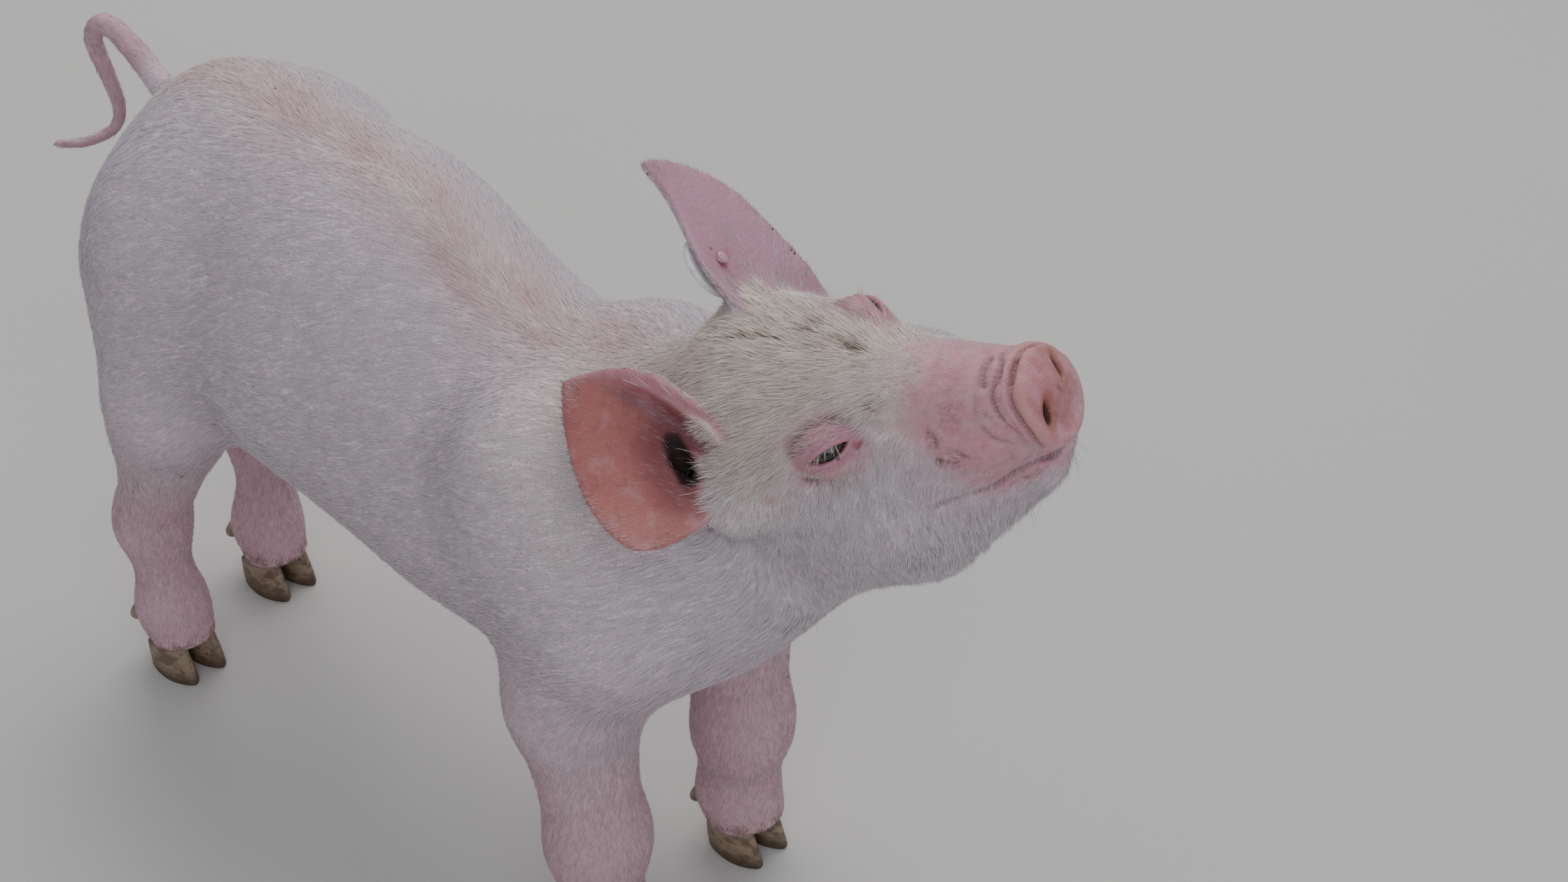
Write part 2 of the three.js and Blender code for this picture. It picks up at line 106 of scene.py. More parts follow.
def makeFrame(origin, forward, up):
    x = unit(forward)
    y = unit(np.cross(up, x))
    return {"origin": np.asarray(origin, float), "axes": np.stack([x, y, np.cross(x, y)])}


def outOf(place, p):
    return place["origin"] + np.asarray(p, float) @ place["axes"]


def into(place, p):
    return (p - place["origin"].astype(np.float32)) @ place["axes"].T.astype(np.float32)


def turned(yaw, pitch, roll):
    spin = (Matrix.Rotation(math.radians(yaw), 3, "Z") @ Matrix.Rotation(math.radians(-pitch), 3, "Y")
            @ Matrix.Rotation(math.radians(roll), 3, "X"))
    return np.array(spin).T


def mirrored(points):
    return [(x, -y, z) for x, y, z in points]


# Where the head is held: its frame starts at the rooting disc, +X along the muzzle, +Z out of the forehead.
pose = {"disc": (257, 32, 345.5), "yaw": 12, "pitch": 26, "roll": 29}
head = {"origin": np.array(pose["disc"], float), "axes": turned(pose["yaw"], pose["pitch"], pose["roll"])}

# The trunk and legs.
trunk = {
    "rump": ((-160, 0, 258), (58, 60, 70)),
    "loin": ((-88, 0, 234), (102, 74, 88)),
    "ribs": ((12, 0, 208), (102, 74, 74)),
    "shoulders": ((76, 0, 208), (66, 68, 65)),
    "brisket": ((114, 0, 210), (40, 44, 40)),
    "flow": 34,
}


def trunkField(p):
    return blend(trunk["flow"], *[ellipsoid(p, *trunk[name])
                                  for name in ("rump", "loin", "ribs", "shoulders", "brisket")])


legs = {
    "front_left": {"elbow": (88, 50, 150), "carpus": (94, 49, 70), "fetlock": (94, 47, 32),
                   "foot": (101, 47, 14)},
    "front_right": {"elbow": (88, -51, 150), "carpus": (97, -48, 70), "fetlock": (98, -47, 32),
                    "foot": (105, -47, 14)},
    "hind_left": {"stifle": (-163, 47, 182), "hock": (-211, 34, 88), "fetlock": (-208, 29, 34),
                  "foot": (-200, 28, 14)},
    "hind_right": {"stifle": (-160, -52, 182), "hock": (-197, -47, 88), "fetlock": (-194, -44, 34),
                   "foot": (-186, -44, 14)},
}
coronet = {"front": 21, "slope": 0.24, "reach": 15.5}  # the line where skin gives way to claw


def shifted(a, b):
    return (a[0] + b[0], a[1] + b[1], a[2] + b[2])


def frontLeg(p, leg):
    s = math.copysign(1, leg["foot"][1])
    return blend(14,
                 limb(p, (60, 38 * s, 250), (104, 42 * s, 196), 34, 32),  # shoulder blade
                 limb(p, (104, 44 * s, 194), leg["elbow"], 32, 28),
                 limb(p, leg["elbow"], leg["carpus"], 28, 20),
                 limb(p, shifted(leg["carpus"], (2, 0, 8)), leg["carpus"], 20, 19.5),
                 limb(p, leg["carpus"], leg["fetlock"], 17.5, 16.5),
                 limb(p, leg["fetlock"], leg["foot"], 17.5, 17))


def hindLeg(p, leg):
    s = math.copysign(1, leg["foot"][1])
    return blend(14,
                 limb(p, (-160, 36 * s, 258), leg["stifle"], 44, 30),
                 limb(p, (-182, 34 * s, 236), (-178, 42 * s, 160), 36, 28),
                 limb(p, leg["stifle"], leg["hock"], 29, 16),
                 limb(p, shifted(leg["hock"], (-7, 0, 12)), leg["hock"], 8, 13),  # point of the hock
                 limb(p, leg["hock"], leg["fetlock"], 15, 14.5),
                 limb(p, leg["fetlock"], leg["foot"], 16, 15.5))


def coronetOf(p, leg):  # height of the coronet above the floor at each point of a foot
    return coronet["front"] + coronet["slope"] * (p[:, 0] - leg["foot"][0] - coronet["reach"])


def legsField(p):
    total = np.full(len(p), 90, np.float32)
    for name, leg in legs.items():
        front = name.startswith("front")
        side = p[:, 1] * leg["foot"][1] > -700
        along = (p[:, 0] > 0) if front else (p[:, 0] < -90)
        here = np.nonzero(side & along & (p[:, 2] < 335))[0]
        if not len(here):
            continue
        q = p[here]
        field = frontLeg(q, leg) if front else hindLeg(q, leg)
        sole = (coronetOf(q, leg) - 1.2 - q[:, 2]) * 0.97
        field = np.where(q[:, 2] < 45, softMax(field, sole, 2.5), field)
        total[here] = np.minimum(total[here], field)
    return total


tail = {
    "line": [(-208, 0, 296), (-226, 0, 309), (-244, -2, 319), (-256, -2, 308), (-255, 2, 288),
             (-254, 6, 268), (-257, 3, 256), (-262, -10, 253), (-266, -22, 256)],
    "root": 7.5, "tip": 3.2, "steps": 26,
}


def curveThrough(points, count):  # a smooth line through the points, in even steps
    pts = np.asarray(points, float)
    full = np.vstack([2 * pts[0] - pts[1], pts, 2 * pts[-1] - pts[-2]])
    fine = []
    for i in range(len(pts) - 1):
        a, b, c, d = full[i:i + 4]
        t = np.linspace(0, 1, 24, endpoint=False)[:, None]
        fine.append(0.5 * (2 * b + (c - a) * t + (2 * a - 5 * b + 4 * c - d) * t ** 2
                           + (3 * b - 3 * c + d - a) * t ** 3))
    fine = np.vstack(fine + [pts[-1:]])
    far = np.r_[0, np.cumsum(np.linalg.norm(np.diff(fine, axis=0), axis=1))]
    even = np.linspace(0, far[-1], count)
    return np.stack([np.interp(even, far, fine[:, k]) for k in range(3)], 1)


tailLine = curveThrough(tail["line"], tail["steps"])


def tailField(p):
    total = np.full(len(p), 90, np.float32)
    here = np.nonzero((p[:, 0] < -190) & (p[:, 2] > 235))[0]
    if len(here):
        q, field = p[here], np.full(len(here), 90, np.float32)
        radii = mix(tail["root"], tail["tip"], np.linspace(0, 1, tail["steps"]))
        for i in range(tail["steps"] - 1):
            field = np.minimum(field, limb(q, tailLine[i], tailLine[i + 1], radii[i], radii[i + 1]))
        total[here] = field
    return total


# The head.
skull = {
    "braincase": ((-116, 0, 12), (40, 41, 38)),
    "forehead": ((-90, 0, 12), (36, 35, 31)),
    "jowl": ((-94, 26, -30), (42, 25, 36)),
    "muzzle": ((-72, 0, 2), (-14, 0, 0), 29, 18.5),
    "lip": ((-66, 14, -16), (-22, 8, -11), 22, 11),
    "jaw": ((-80, 20, -48), (-24, 8, -33), 23.5, 12),
    "flow": 12,
}
disc = {"thick": 4.6, "wide": 21, "high": 17.5, "edge": 3, "tilt": 15, "turn": 9, "dish": 1.5,
        "nostrils": [(-9.8, 2.6), (9.4, 1.2)]}
discFrame = {"origin": np.zeros(3), "axes": turned(disc["turn"], disc["tilt"], 0)}
eye = {
    "centre": (-81, -26, 19.5), "radius": 10.5,  # the right eye; the left is its mirror image
    "outward": (0.54, -0.73, 0.42), "slit": (0.82, 0.57, -0.07),
    "halfLength": 8.6, "halfHeight": 2.3, "lid": 1.6,
}


def discField(p):
    q = into(discFrame, p)
    ring = np.hypot(q[:, 1] / disc["wide"], q[:, 2] / disc["high"])
    flat = np.abs(q[:, 0] + disc["thick"] - 1) - disc["thick"]
    solid = roundedPlate(flat, (ring - 1) * disc["high"], disc["edge"])
    dish = disc["dish"] * (1 - ease(0.5, 0.93, ring)) * ease(-3, 1, q[:, 0])
    notch = 1.1 * np.exp(-(q[:, 1] / 2.6) ** 2) * ease(5, 17, q[:, 2])
    return solid + dish + notch


def skullField(p):
    both = [p, p * np.float32((1, -1, 1))]
    jowls = [ellipsoid(q, *skull["jowl"]) for q in both]
    lips = [limb(q, *skull["lip"]) for q in both]
    jaws = [limb(q, *skull["jaw"]) for q in both]
    bone = blend(skull["flow"], ellipsoid(p, *skull["braincase"]), ellipsoid(p, *skull["forehead"]),
                 *jowls, limb(p, *skull["muzzle"]), *lips, *jaws)
    return softMin(bone, discField(p), 7)


def eyeAxes(side):
    flip = np.array([1, -side, 1.0])
    outward = unit(np.array(eye["outward"]) * flip)
    slit = np.array(eye["slit"]) * flip
    slit = unit(slit - outward * (slit @ outward))
    up = np.cross(outward, slit) * -side
    return {"origin": np.array(eye["centre"]) * flip, "axes": np.stack([slit, up, outward])}


eyes = {"right": eyeAxes(-1), "left": eyeAxes(1)}


def lidGap(u):  # the open height of the lids along the slit, more towards the nose
    t = np.clip(u / eye["halfLength"], -1, 1)
    return eye["halfHeight"] * (1 - t * t) ** 0.8 * (1 + 0.12 * t)


def openLids(field, p):
    for place in eyes.values():
        q = p - place["origin"].astype(np.float32)
        near = lengthOf(q) < 24
        if not near.any():
            continue
        u, v, w = (q[near] @ place["axes"].T.astype(np.float32)).T
        r = lengthOf(q[near])
        lid = r - eye["radius"] - eye["lid"]
        here = softMin(field[near], lid, 6)
        gap = np.abs(v - 0.3) - lidGap(u)
        gap = np.where(np.abs(u) > eye["halfLength"], np.hypot(gap, np.abs(u) - eye["halfLength"]), gap)
        cut = np.maximum(np.maximum(gap, eye["radius"] - 0.9 - r), 1 - w)
        field[near] = softMax(here, -cut, 1.3)
    return field


def nostrilOval(q):  # below 1 inside a nostril; each is long and narrow and leans
    best = np.full(len(q), 9.0, np.float32)
    for y, z in disc["nostrils"]:
        v, w = q[:, 1] - y, q[:, 2] - z
        along, across, deep = (0.83 * v + 0.56 * w) / 4.5, (0.83 * w - 0.56 * v) / 1.9, (q[:, 0] - 2.5) / 9
        best = np.minimum(best, np.sqrt(along ** 2 + across ** 2 + deep ** 2))
    return best


def nostrils(field, p):
    return softMax(field, (1 - nostrilOval(into(discFrame, p))) * 2.2, 2)


# Each ear is a cupped leaf, open to its own +Z, its tip along its own +X.
ears = {
    "right": {
        "frame": makeFrame(outOf(head, (-129, -37, 27)), (-0.97, -0.15, 0.2), (0.15, -0.7, 0.7)),
        "side": -1, "long": 69, "depth": 17, "join": 5, "base": 12,
        "front": {"width": 21, "widest": 0.42, "root": 0.75, "taper": 0.85},
        "rear": {"width": 41, "widest": 0.12, "root": 0.32, "taper": 0.85},
        "bulb": ((14, 3, -8), (-12, 5, -12), 8.5, 13),
        "canal": [((18, -2, 3.6), (5, 5.5, 2.6), 3.0, 3.8), ((12, 2, 2), (3, 5, -8), 3.8, 3.4)],
    },
    "left": {
        "frame": makeFrame(outOf(head, (-128, 35, 27)), (-0.715, -0.13, 0.655), (0.5, 0.26, 0.82)),
        "side": 1, "long": 72, "depth": 12, "join": 9, "base": 21,
        "front": {"width": 26, "widest": 0, "root": 1, "taper": 3.1},
        "rear": {"width": 30, "widest": 0.46, "root": 2, "taper": 0.62},
        "bulb": ((0, -5, -8), (-14, -5, -10), 9, 14),
        "canal": [((-2, -4, 5), (-9, -4, 0), 3.2, 4), ((-5, -4, 2), (-11, -4, -7), 4, 3)],
    },
}
earMake = {"half": 2.3, "thinner": 0.42, "edge": 1.3}  # half the thickness, and how much less at the margin


def leaf(margin, t):
    s = np.where(t > margin["widest"], (t - margin["widest"]) / (1 - margin["widest"]),
                 (margin["widest"] - t) / margin["root"])
    power = np.where(t > margin["widest"], margin["taper"], 0.5)
    return margin["width"] * np.maximum(1 - s * s, 0) ** power


def earPlace(p, ear):  # along, across towards the front margin, above the cup, and the share of its length
    x, y, z = into(ear["frame"], p).T
    across = y * ear["side"]
    t = np.clip(x / ear["long"], -0.16, 0.995)
    width = np.where(across > 0, ear["front"]["width"], ear["rear"]["width"])
    slope = ear["depth"] * mix(1, 0.15, np.clip(t, 0, 1))
    share = np.clip(across / width, -1.2, 1.2)
    cup = slope * share * share
    steep = 2 * slope * share / width
    return x, across, (z - cup) / np.sqrt(1 + steep * steep), t


def canalField(local, ear):  # the way into the ear, in its own frame
    return np.minimum(*[limb(local, *part) for part in ear["canal"]])


def earField(p, ear):
    x, across, above, t = earPlace(p, ear)
    step = 0.01
    margin = np.where(across > 0, leaf(ear["front"], t), leaf(ear["rear"], t))
    later = np.where(across > 0, leaf(ear["front"], t + step), leaf(ear["rear"], t + step))
    fall = np.clip((later - margin) / (step * ear["long"]), -4, 4)
    out = (np.abs(across) - margin) / np.sqrt(1 + fall * fall)
    out = np.maximum(out, np.maximum(x - ear["long"], -ear["base"] - x))
    share = np.clip(np.abs(across) / np.maximum(margin, 1), 0, 1)
    half = earMake["half"] * (1 - earMake["thinner"] * share ** 4)
    return roundedPlate(np.abs(above) - half, out, earMake["edge"])


# The whole skin as one field.
def coatDepth(p):  # how far the skin lies inside the tips of the coat
    h = into(head, p)
    depth = np.full(len(p), 1.5, np.float32)
    depth = mix(depth, 0.8, ease(110, 60, p[:, 2]))
    face = ease(70, 110, p[:, 0]) * ease(-175, -135, h[:, 0])
    depth = mix(depth, 1.1, face)
    return mix(depth, 0.3, face * ease(-66, -40, h[:, 0]))


def neckField(p):
    return blend(20,
                 limb(p, (70, 0, 217), outOf(head, (-120, 0, 0)), 58, 42),
                 limb(p, (112, 0, 210), outOf(head, (-96, 0, -44)), 44, 38))


def skinField(p):
    torso = softMin(softMin(trunkField(p), neckField(p), 30), legsField(p), 22)
    torso = softMin(torso, tailField(p), 7)
    front = np.nonzero(p[:, 0] > 62)[0]
    total = torso + coatDepth(p)
    if len(front):
        q = p[front]
        h = into(head, q)
        field = softMin(torso[front], skullField(h), 16) + coatDepth(q)
        field = nostrils(openLids(field, h), h)
        for ear in ears.values():
            local = into(ear["frame"], q)
            field = softMin(field, limb(local, *ear["bulb"]) + 1, 15)
            field = softMin(field, earField(q, ear) + 0.5, ear["join"])
            field = softMax(field, -canalField(local, ear), 2.5)
        total[front] = field
    return total


def graded(*spans):
    scale = 1
    parts = [np.arange(a, b, cell * scale) for a, b, cell in spans]
    return np.concatenate(parts).astype(np.float32)


cellSize = {"trunk": 2.7, "head": 1.3, "across": 1.45}
gridAlong = graded((-276, 76, cellSize["trunk"]), (76, 278, cellSize["head"]))
gridAcross = graded((-96, 97, cellSize["across"]))
gridUp = graded((-6, 212, cellSize["trunk"]), (212, 388, cellSize["head"]))


def sampled(field, xs, ys, zs, block=18):  # the field on a grid, worked out only in blocks near the surface
    values = np.empty((len(xs), len(ys), len(zs)), np.float32)
    parts = [[(i, min(i + block, len(a))) for i in range(0, len(a), block)] for a in (xs, ys, zs)]
    boxes = [(a, b, c) for a in parts[0] for b in parts[1] for c in parts[2]]
    low = np.array([[xs[a[0]], ys[b[0]], zs[c[0]]] for a, b, c in boxes], np.float32)
    high = np.array([[xs[a[1] - 1], ys[b[1] - 1], zs[c[1] - 1]] for a, b, c in boxes], np.float32)
    middle = field((low + high) / 2)
    reach = lengthOf(high - low) / 2 * 1.5 + 12
    for (a, b, c), centre, far in zip(boxes, middle, reach):
        part = values[a[0]:a[1], b[0]:b[1], c[0]:c[1]]
        if abs(centre) > far:
            part[...] = centre
            continue
        grid = np.stack(np.meshgrid(xs[a[0]:a[1]], ys[b[0]:b[1]], zs[c[0]:c[1]], indexing="ij"), -1)
        part[...] = field(grid.reshape(-1, 3)).reshape(part.shape)
    return values


def netPoints(values, xs, ys, zs):  # one point in each cell of the grid that the surface crosses
    inside = values < 0
    nx, ny, nz = values.shape
    corners = [(i, j, k) for i in (0, 1) for j in (0, 1) for k in (0, 1)]
    total = np.zeros((nx - 1, ny - 1, nz - 1), np.int8)
    for i, j, k in corners:
        total += inside[i:nx - 1 + i, j:ny - 1 + j, k:nz - 1 + k]
    ci, cj, ck = np.nonzero((total > 0) & (total < 8))
    vertexOf = np.full(total.shape, -1, np.int32)
    vertexOf[ci, cj, ck] = np.arange(len(ci))
    where, count = np.zeros((len(ci), 3)), np.zeros(len(ci))
    for a in corners:
        for axis in range(3):
            if a[axis]:
                continue
            b = list(a)
            b[axis] = 1
            va = values[ci + a[0], cj + a[1], ck + a[2]]
            vb = values[ci + b[0], cj + b[1], ck + b[2]]
            cross = (va < 0) != (vb < 0)
            t = np.where(cross, va / np.where(cross, va - vb, 1), 0)
            place = np.tile(np.array(a, float), (len(ci), 1))
            place[:, axis] = t
            where += place * cross[:, None]
            count += cross
    where /= count[:, None]
    verts = np.stack([mix(g[c], g[c + 1], where[:, k])
                      for k, (g, c) in enumerate(((xs, ci), (ys, cj), (zs, ck)))], 1)
    return verts, vertexOf


def netQuads(inside, vertexOf):  # one face round each edge of the grid that the surface crosses
    quads = []
    for axis in range(3):
        one = [slice(1, -1)] * 3
        two = [slice(1, -1)] * 3
        one[axis], two[axis] = slice(1, -2), slice(2, -1)
        first, second = inside[tuple(one)], inside[tuple(two)]
        i, j, k = (n + 1 for n in np.nonzero(first != second))
        u, w = np.eye(3, dtype=int)[(axis + 1) % 3], np.eye(3, dtype=int)[(axis + 2) % 3]
        ring = [vertexOf[i - a * u[0] - b * w[0], j - a * u[1] - b * w[1], k - a * u[2] - b * w[2]]
                for a, b in ((0, 0), (1, 0), (1, 1), (0, 1))]
        quad = np.stack(ring, 1)
        away = ~inside[i, j, k]
        quad[away] = quad[away, ::-1]
        quads.append(quad)
    return np.vstack(quads)


def surfaceNet(values, xs, ys, zs):  # the surface as triangles, each face split across its shorter way
    verts, vertexOf = netPoints(values, xs, ys, zs)
    quads = netQuads(values < 0, vertexOf)
    oneWay = np.linalg.norm(verts[quads[:, 0]] - verts[quads[:, 2]], axis=1)
    otherWay = np.linalg.norm(verts[quads[:, 1]] - verts[quads[:, 3]], axis=1)
    short = (oneWay <= otherWay)[:, None]
    first = np.where(short, quads[:, [0, 1, 2]], quads[:, [0, 1, 3]])
    second = np.where(short, quads[:, [0, 2, 3]], quads[:, [1, 2, 3]])
    return verts, np.vstack([first, second])


def settle(points, field, steps=2, most=0.8):  # draws points onto the field's zero surface
    probes, apart = np.float32([(1, -1, -1), (-1, -1, 1), (-1, 1, -1), (1, 1, 1)]), 0.25
    p = points.astype(np.float32)
    for _ in range(steps):
        slope = sum(d * field(p + d * apart)[:, None] for d in probes) / len(probes) / apart
        steep = np.maximum(lengthOf(slope), 0.3)
        move = np.clip(field(p) / steep, -most, most)
        p = p - slope / steep[:, None] * move[:, None]
    return p.astype(float)


def edgesOf(tris):
    pairs = np.sort(np.vstack([tris[:, [0, 1]], tris[:, [1, 2]], tris[:, [2, 0]]]), 1)
    keys = pairs[:, 0].astype(np.int64) * (tris.max() + 1) + pairs[:, 1]
    keys, back = np.unique(keys, return_inverse=True)
    edges = np.stack([keys // (tris.max() + 1), keys % (tris.max() + 1)], 1)
    return edges, back.reshape(3, -1).T


def gather(index, weights, count):
    return np.stack([np.bincount(index, weights[:, k], count) for k in range(weights.shape[1])], 1)


def normalsOf(verts, tris):
    a, b, c = (verts[tris[:, k]] for k in range(3))
    face = np.cross(b - a, c - a)
    return unit(sum(gather(tris[:, k], face, len(verts)) for k in range(3)))


def relaxed(verts, tris, strength):  # evens the net out along the surface
    edges, _ = edgesOf(tris)
    ends = np.r_[edges[:, 0], edges[:, 1]]
    others = np.r_[edges[:, 1], edges[:, 0]]
    degree = np.maximum(np.bincount(ends, minlength=len(verts)), 1)[:, None]
    pull = gather(ends, verts[others], len(verts)) / degree - verts
    normal = normalsOf(verts, tris)
    return verts + strength * alongSkin(pull, normal)


def refined(verts, tris, wanted):  # splits each edge longer than the size wanted there
    edges, back = edgesOf(tris)
    middle = (verts[edges[:, 0]] + verts[edges[:, 1]]) / 2
    long = np.linalg.norm(verts[edges[:, 0]] - verts[edges[:, 1]], axis=1) > 1.4 * wanted(middle)
    number = np.cumsum(long) - 1 + len(verts)
    mark, new = long[back], np.where(long, number, -1)[back]
    out = [tris[~mark.any(1)]]
    for turn in range(3):
        order = [(turn + k) % 3 for k in range(3)]
        (a, b, c), m, n = tris[:, order].T, mark[:, order], new[:, order]
        one = m[:, 0] & ~m[:, 1] & ~m[:, 2]
        out += [np.stack([a, n[:, 0], c], 1)[one], np.stack([n[:, 0], b, c], 1)[one]]
        two = m[:, 0] & m[:, 1] & ~m[:, 2]
        out += [np.stack(t, 1)[two] for t in ((n[:, 0], b, n[:, 1]), (a, n[:, 0], n[:, 1]), (a, n[:, 1], c))]
    every = mark.all(1)
    (a, b, c), (m, n, o) = tris[every].T, new[every].T
    out += [np.stack(t, 1) for t in ((a, m, o), (m, b, n), (o, n, c), (m, n, o))]
    return np.vstack([verts, middle[long]]), np.vstack(out), long.sum()


# Folds, worked into the skin after it is meshed.
lipLine = [(-11, 0, -31), (-12, -9, -28), (-17, -16, -22), (-27, -21, -23), (-35, -24, -25), (-44, -29, -22),
           (-53, -34, -18)]
folds = [  # in the head's frame, on its right side; each is a groove of this width and depth
    {"path": lipLine, "width": 1.3, "depth": 2.3},
    {"path": [(-18, 6, 18), (-20, -3, 18), (-22, -11, 15), (-22, -16, 9), (-18, -20, 2), (-12, -21, -2)],
     "width": 1.5, "depth": 1.7},
    {"path": [(-12, 5, 19), (-13, -3, 18), (-15, -9, 16), (-13, -15, 11), (-9, -18, 6), (-8, -20, 0)],
     "width": 1.1, "depth": 1.6},
    {"path": [(-7, 5, 18), (-7, -3, 18), (-7, -11, 15), (-4, -17, 10), (-2, -20, 5), (-2, -21, -3)],
     "width": 1.3, "depth": 2.0},
    {"path": [(-19, -14, 13), (-15, -18, 7), (-15, -20, 1)], "width": 0.8, "depth": 0.7},
    {"path": [(-10, -16, 12), (-5, -19, 5), (-5, -20, -3)], "width": 0.8, "depth": 0.8},
    {"path": [(-27, -8, 17), (-29, -14, 13), (-28, -18, 8)], "width": 1.6, "depth": 0.6},
    {"path": [(-14, -21, -5), (-20, -22, -11), (-30, -25, -12), (-38, -27, -9)], "width": 1.6, "depth": 1.1},
    {"path": [(-8, -18, -13), (-14, -20, -15), (-22, -22, -16)], "width": 1.1, "depth": 0.8},
    {"path": [(-92, -34, 27), (-87, -29, 32), (-79, -24, 32), (-73, -22, 31), (-65, -21, 27), (-58, -21, 22)],
     "width": 1.7, "depth": 1.5},
    {"path": [(-69, -27, 21), (-65, -26, 18), (-62, -26, 15)], "width": 0.9, "depth": 0.9},
    {"path": [(-84, -38, 11), (-76, -38, 9), (-68, -33, 10)], "width": 1.6, "depth": 0.9},
    {"path": [(-88, -41, 12), (-80, -42, 7), (-71, -38, 6)], "width": 1.4, "depth": 0.6},
    {"path": [(-27, -22, -2)], "width": 6.5, "depth": -1.5},
    {"path": [(-17, -19, 5)], "width": 3.2, "depth": -0.8},
    {"path": [(-10, -17, 9)], "width": 2.6, "depth": -0.6},
]


def distanceTo(p, path):
    if len(path) == 1:
        return lengthOf(p - np.float32(path[0]))
    line = curveThrough(path, 18).astype(np.float32)
    far = np.full(len(p), 1e3, np.float32)
    for a, b in zip(line[:-1], line[1:]):
        far = np.minimum(far, limb(p, a, b, 0, 0))
    return far


def foldSum(h):  # how deep the folds lie at points of the head's frame
    total = np.zeros(len(h), np.float32)
    for fold in folds:
        for path in (fold["path"], mirrored(fold["path"])):
            box = np.array(path)
            reach = 3 * fold["width"] + 2
            near = np.all((h > box.min(0) - reach) & (h < box.max(0) + reach), 1)
            if near.any():
                far = distanceTo(h[near], path)
                total[near] += fold["depth"] * np.exp(-(far / fold["width"]) ** 2)
    for place in eyes.values():
        u, v, w = into(place, h).T
        on = ease(9.5, 6.5, np.abs(u)) * ease(1, 4, w) * (lengthOf(into(place, h)) < 18)
        total += on * 0.75 * bell(v - lidGap(u) - 3.3, 0.75)
        total += on * 0.5 * bell(v + lidGap(u) + 2.4, 0.7)
        total -= on * 0.3 * bell(np.abs(v - 0.3) - lidGap(u) - 0.9, 0.6)
    return total + earRoll(h)


def earRoll(h):  # the soft roll along the right ear's front margin, and the furrow behind it
    ear = ears["right"]
    along, across, above, t = earPlace(outOf(head, h).astype(np.float32), ear)
    share = across / np.maximum(leaf(ear["front"], t), 6)
    near = (np.abs(above) < 6) & (np.abs(share) < 1.4) & (above > 0) & (along > -8) & (along < 66)
    ends = ease(-6, 6, along) * ease(64, 40, along) * near
    return ends * (1.5 * bell(share - 0.4, 0.17) - 2.6 * bell(share - 0.8, 0.2))


faceSize = {"eye": 0.8, "disc": 0.9, "lips": 0.8}


def fineness(p):  # the size of face wanted at each point
    h = into(head, p)
    size = np.full(len(p), 99.0)
    for place in eyes.values():
        far = lengthOf(h - place["origin"])
        size = np.where((far < 17) & (p[:, 0] > 90), np.minimum(size, faceSize["eye"]), size)
    size = np.where((h[:, 0] > -24) & (h[:, 0] < 12), faceSize["disc"], size)
    lips = np.minimum(distanceTo(h, lipLine), distanceTo(h, mirrored(lipLine)))
    return np.where(lips < 5, faceSize["lips"], size)


values = sampled(skinField, gridAlong, gridAcross, gridUp)
skinVerts, skinTris = surfaceNet(values, gridAlong, gridAcross, gridUp)
print("skin net:", len(skinVerts), "points,", len(skinTris), "triangles", flush=True)
del values
skinVerts = settle(skinVerts, skinField, 2)
for _ in range(3):
    skinVerts = relaxed(skinVerts, skinTris, 0.6)
skinVerts = settle(skinVerts, skinField, 1)
for _ in range(2):
    skinVerts, skinTris, added = refined(skinVerts, skinTris, fineness)
    fresh = settle(skinVerts[-added:], skinField, 1)
    skinVerts = np.vstack([skinVerts[:-added], fresh])
skinVerts = relaxed(skinVerts, skinTris, 0.5)
skinVerts = settle(skinVerts, skinField, 1)
print("skin refined:", len(skinVerts), "points,", len(skinTris), "triangles", flush=True)
plainNormals = normalsOf(skinVerts, skinTris)
skinHead = into(head, skinVerts)
foldDepth = foldSum(skinHead)
skinVerts = skinVerts - plainNormals * foldDepth[:, None]


# Meshes and objects.
def meshObject(name, verts, tris, material, smooth=True):
    mesh = bpy.data.meshes.new(name)
    mesh.vertices.add(len(verts))
    mesh.vertices.foreach_set("co", (np.asarray(verts) * mm).astype(np.float32).ravel())
    mesh.loops.add(tris.size)
    mesh.loops.foreach_set("vertex_index", tris.astype(np.int32).ravel())
    mesh.polygons.add(len(tris))
    mesh.polygons.foreach_set("loop_start", np.arange(0, tris.size, 3, dtype=np.int32))
    mesh.polygons.foreach_set("use_smooth", np.full(len(tris), smooth))
    mesh.update(calc_edges=True)
    mesh.validate()
    piece = bpy.data.objects.new(name, mesh)
    bpy.context.scene.collection.objects.link(piece)
    mesh.materials.append(material)
    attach(piece, "root")
    return piece


def giveValue(piece, name, values):
    layer = piece.data.attributes.new(name, "FLOAT", "POINT")
    layer.data.foreach_set("value", np.asarray(values, np.float32).ravel())


# Node helpers and shared effects.
def shade(code):  # a colour as people write it, made linear
    parts = [int(code[k:k + 2], 16) / 255 for k in (1, 3, 5)]
    return tuple(c / 12.92 if c <= 0.04045 else ((c + 0.055) / 1.055) ** 2.4 for c in parts)


def feed(tree, socket, value):  # a link where the value comes from a node, else a constant
    if isinstance(value, bpy.types.NodeSocket):
        tree.links.new(value, socket)
    else:
        socket.default_value = value


def addNode(tree, kind, inputs=(), **settings):
    node = tree.nodes.new(kind)
    for name, value in settings.items():
        setattr(node, name, value)
    for socket, value in dict(inputs).items():
        feed(tree, node.inputs[socket], value)
    return node


def colourOf(value):
    return value if isinstance(value, bpy.types.NodeSocket) else (*shade(value), 1)


def mixed(tree, share, first, second, how="MIX"):
    node = addNode(tree, "ShaderNodeMix", {"Factor": share}, data_type="RGBA", blend_type=how)
    feed(tree, node.inputs[6], colourOf(first))
    feed(tree, node.inputs[7], colourOf(second))
    return node.outputs[2]


def maths(tree, what, *values):
    return addNode(tree, "ShaderNodeMath", enumerate(values), operation=what).outputs[0]


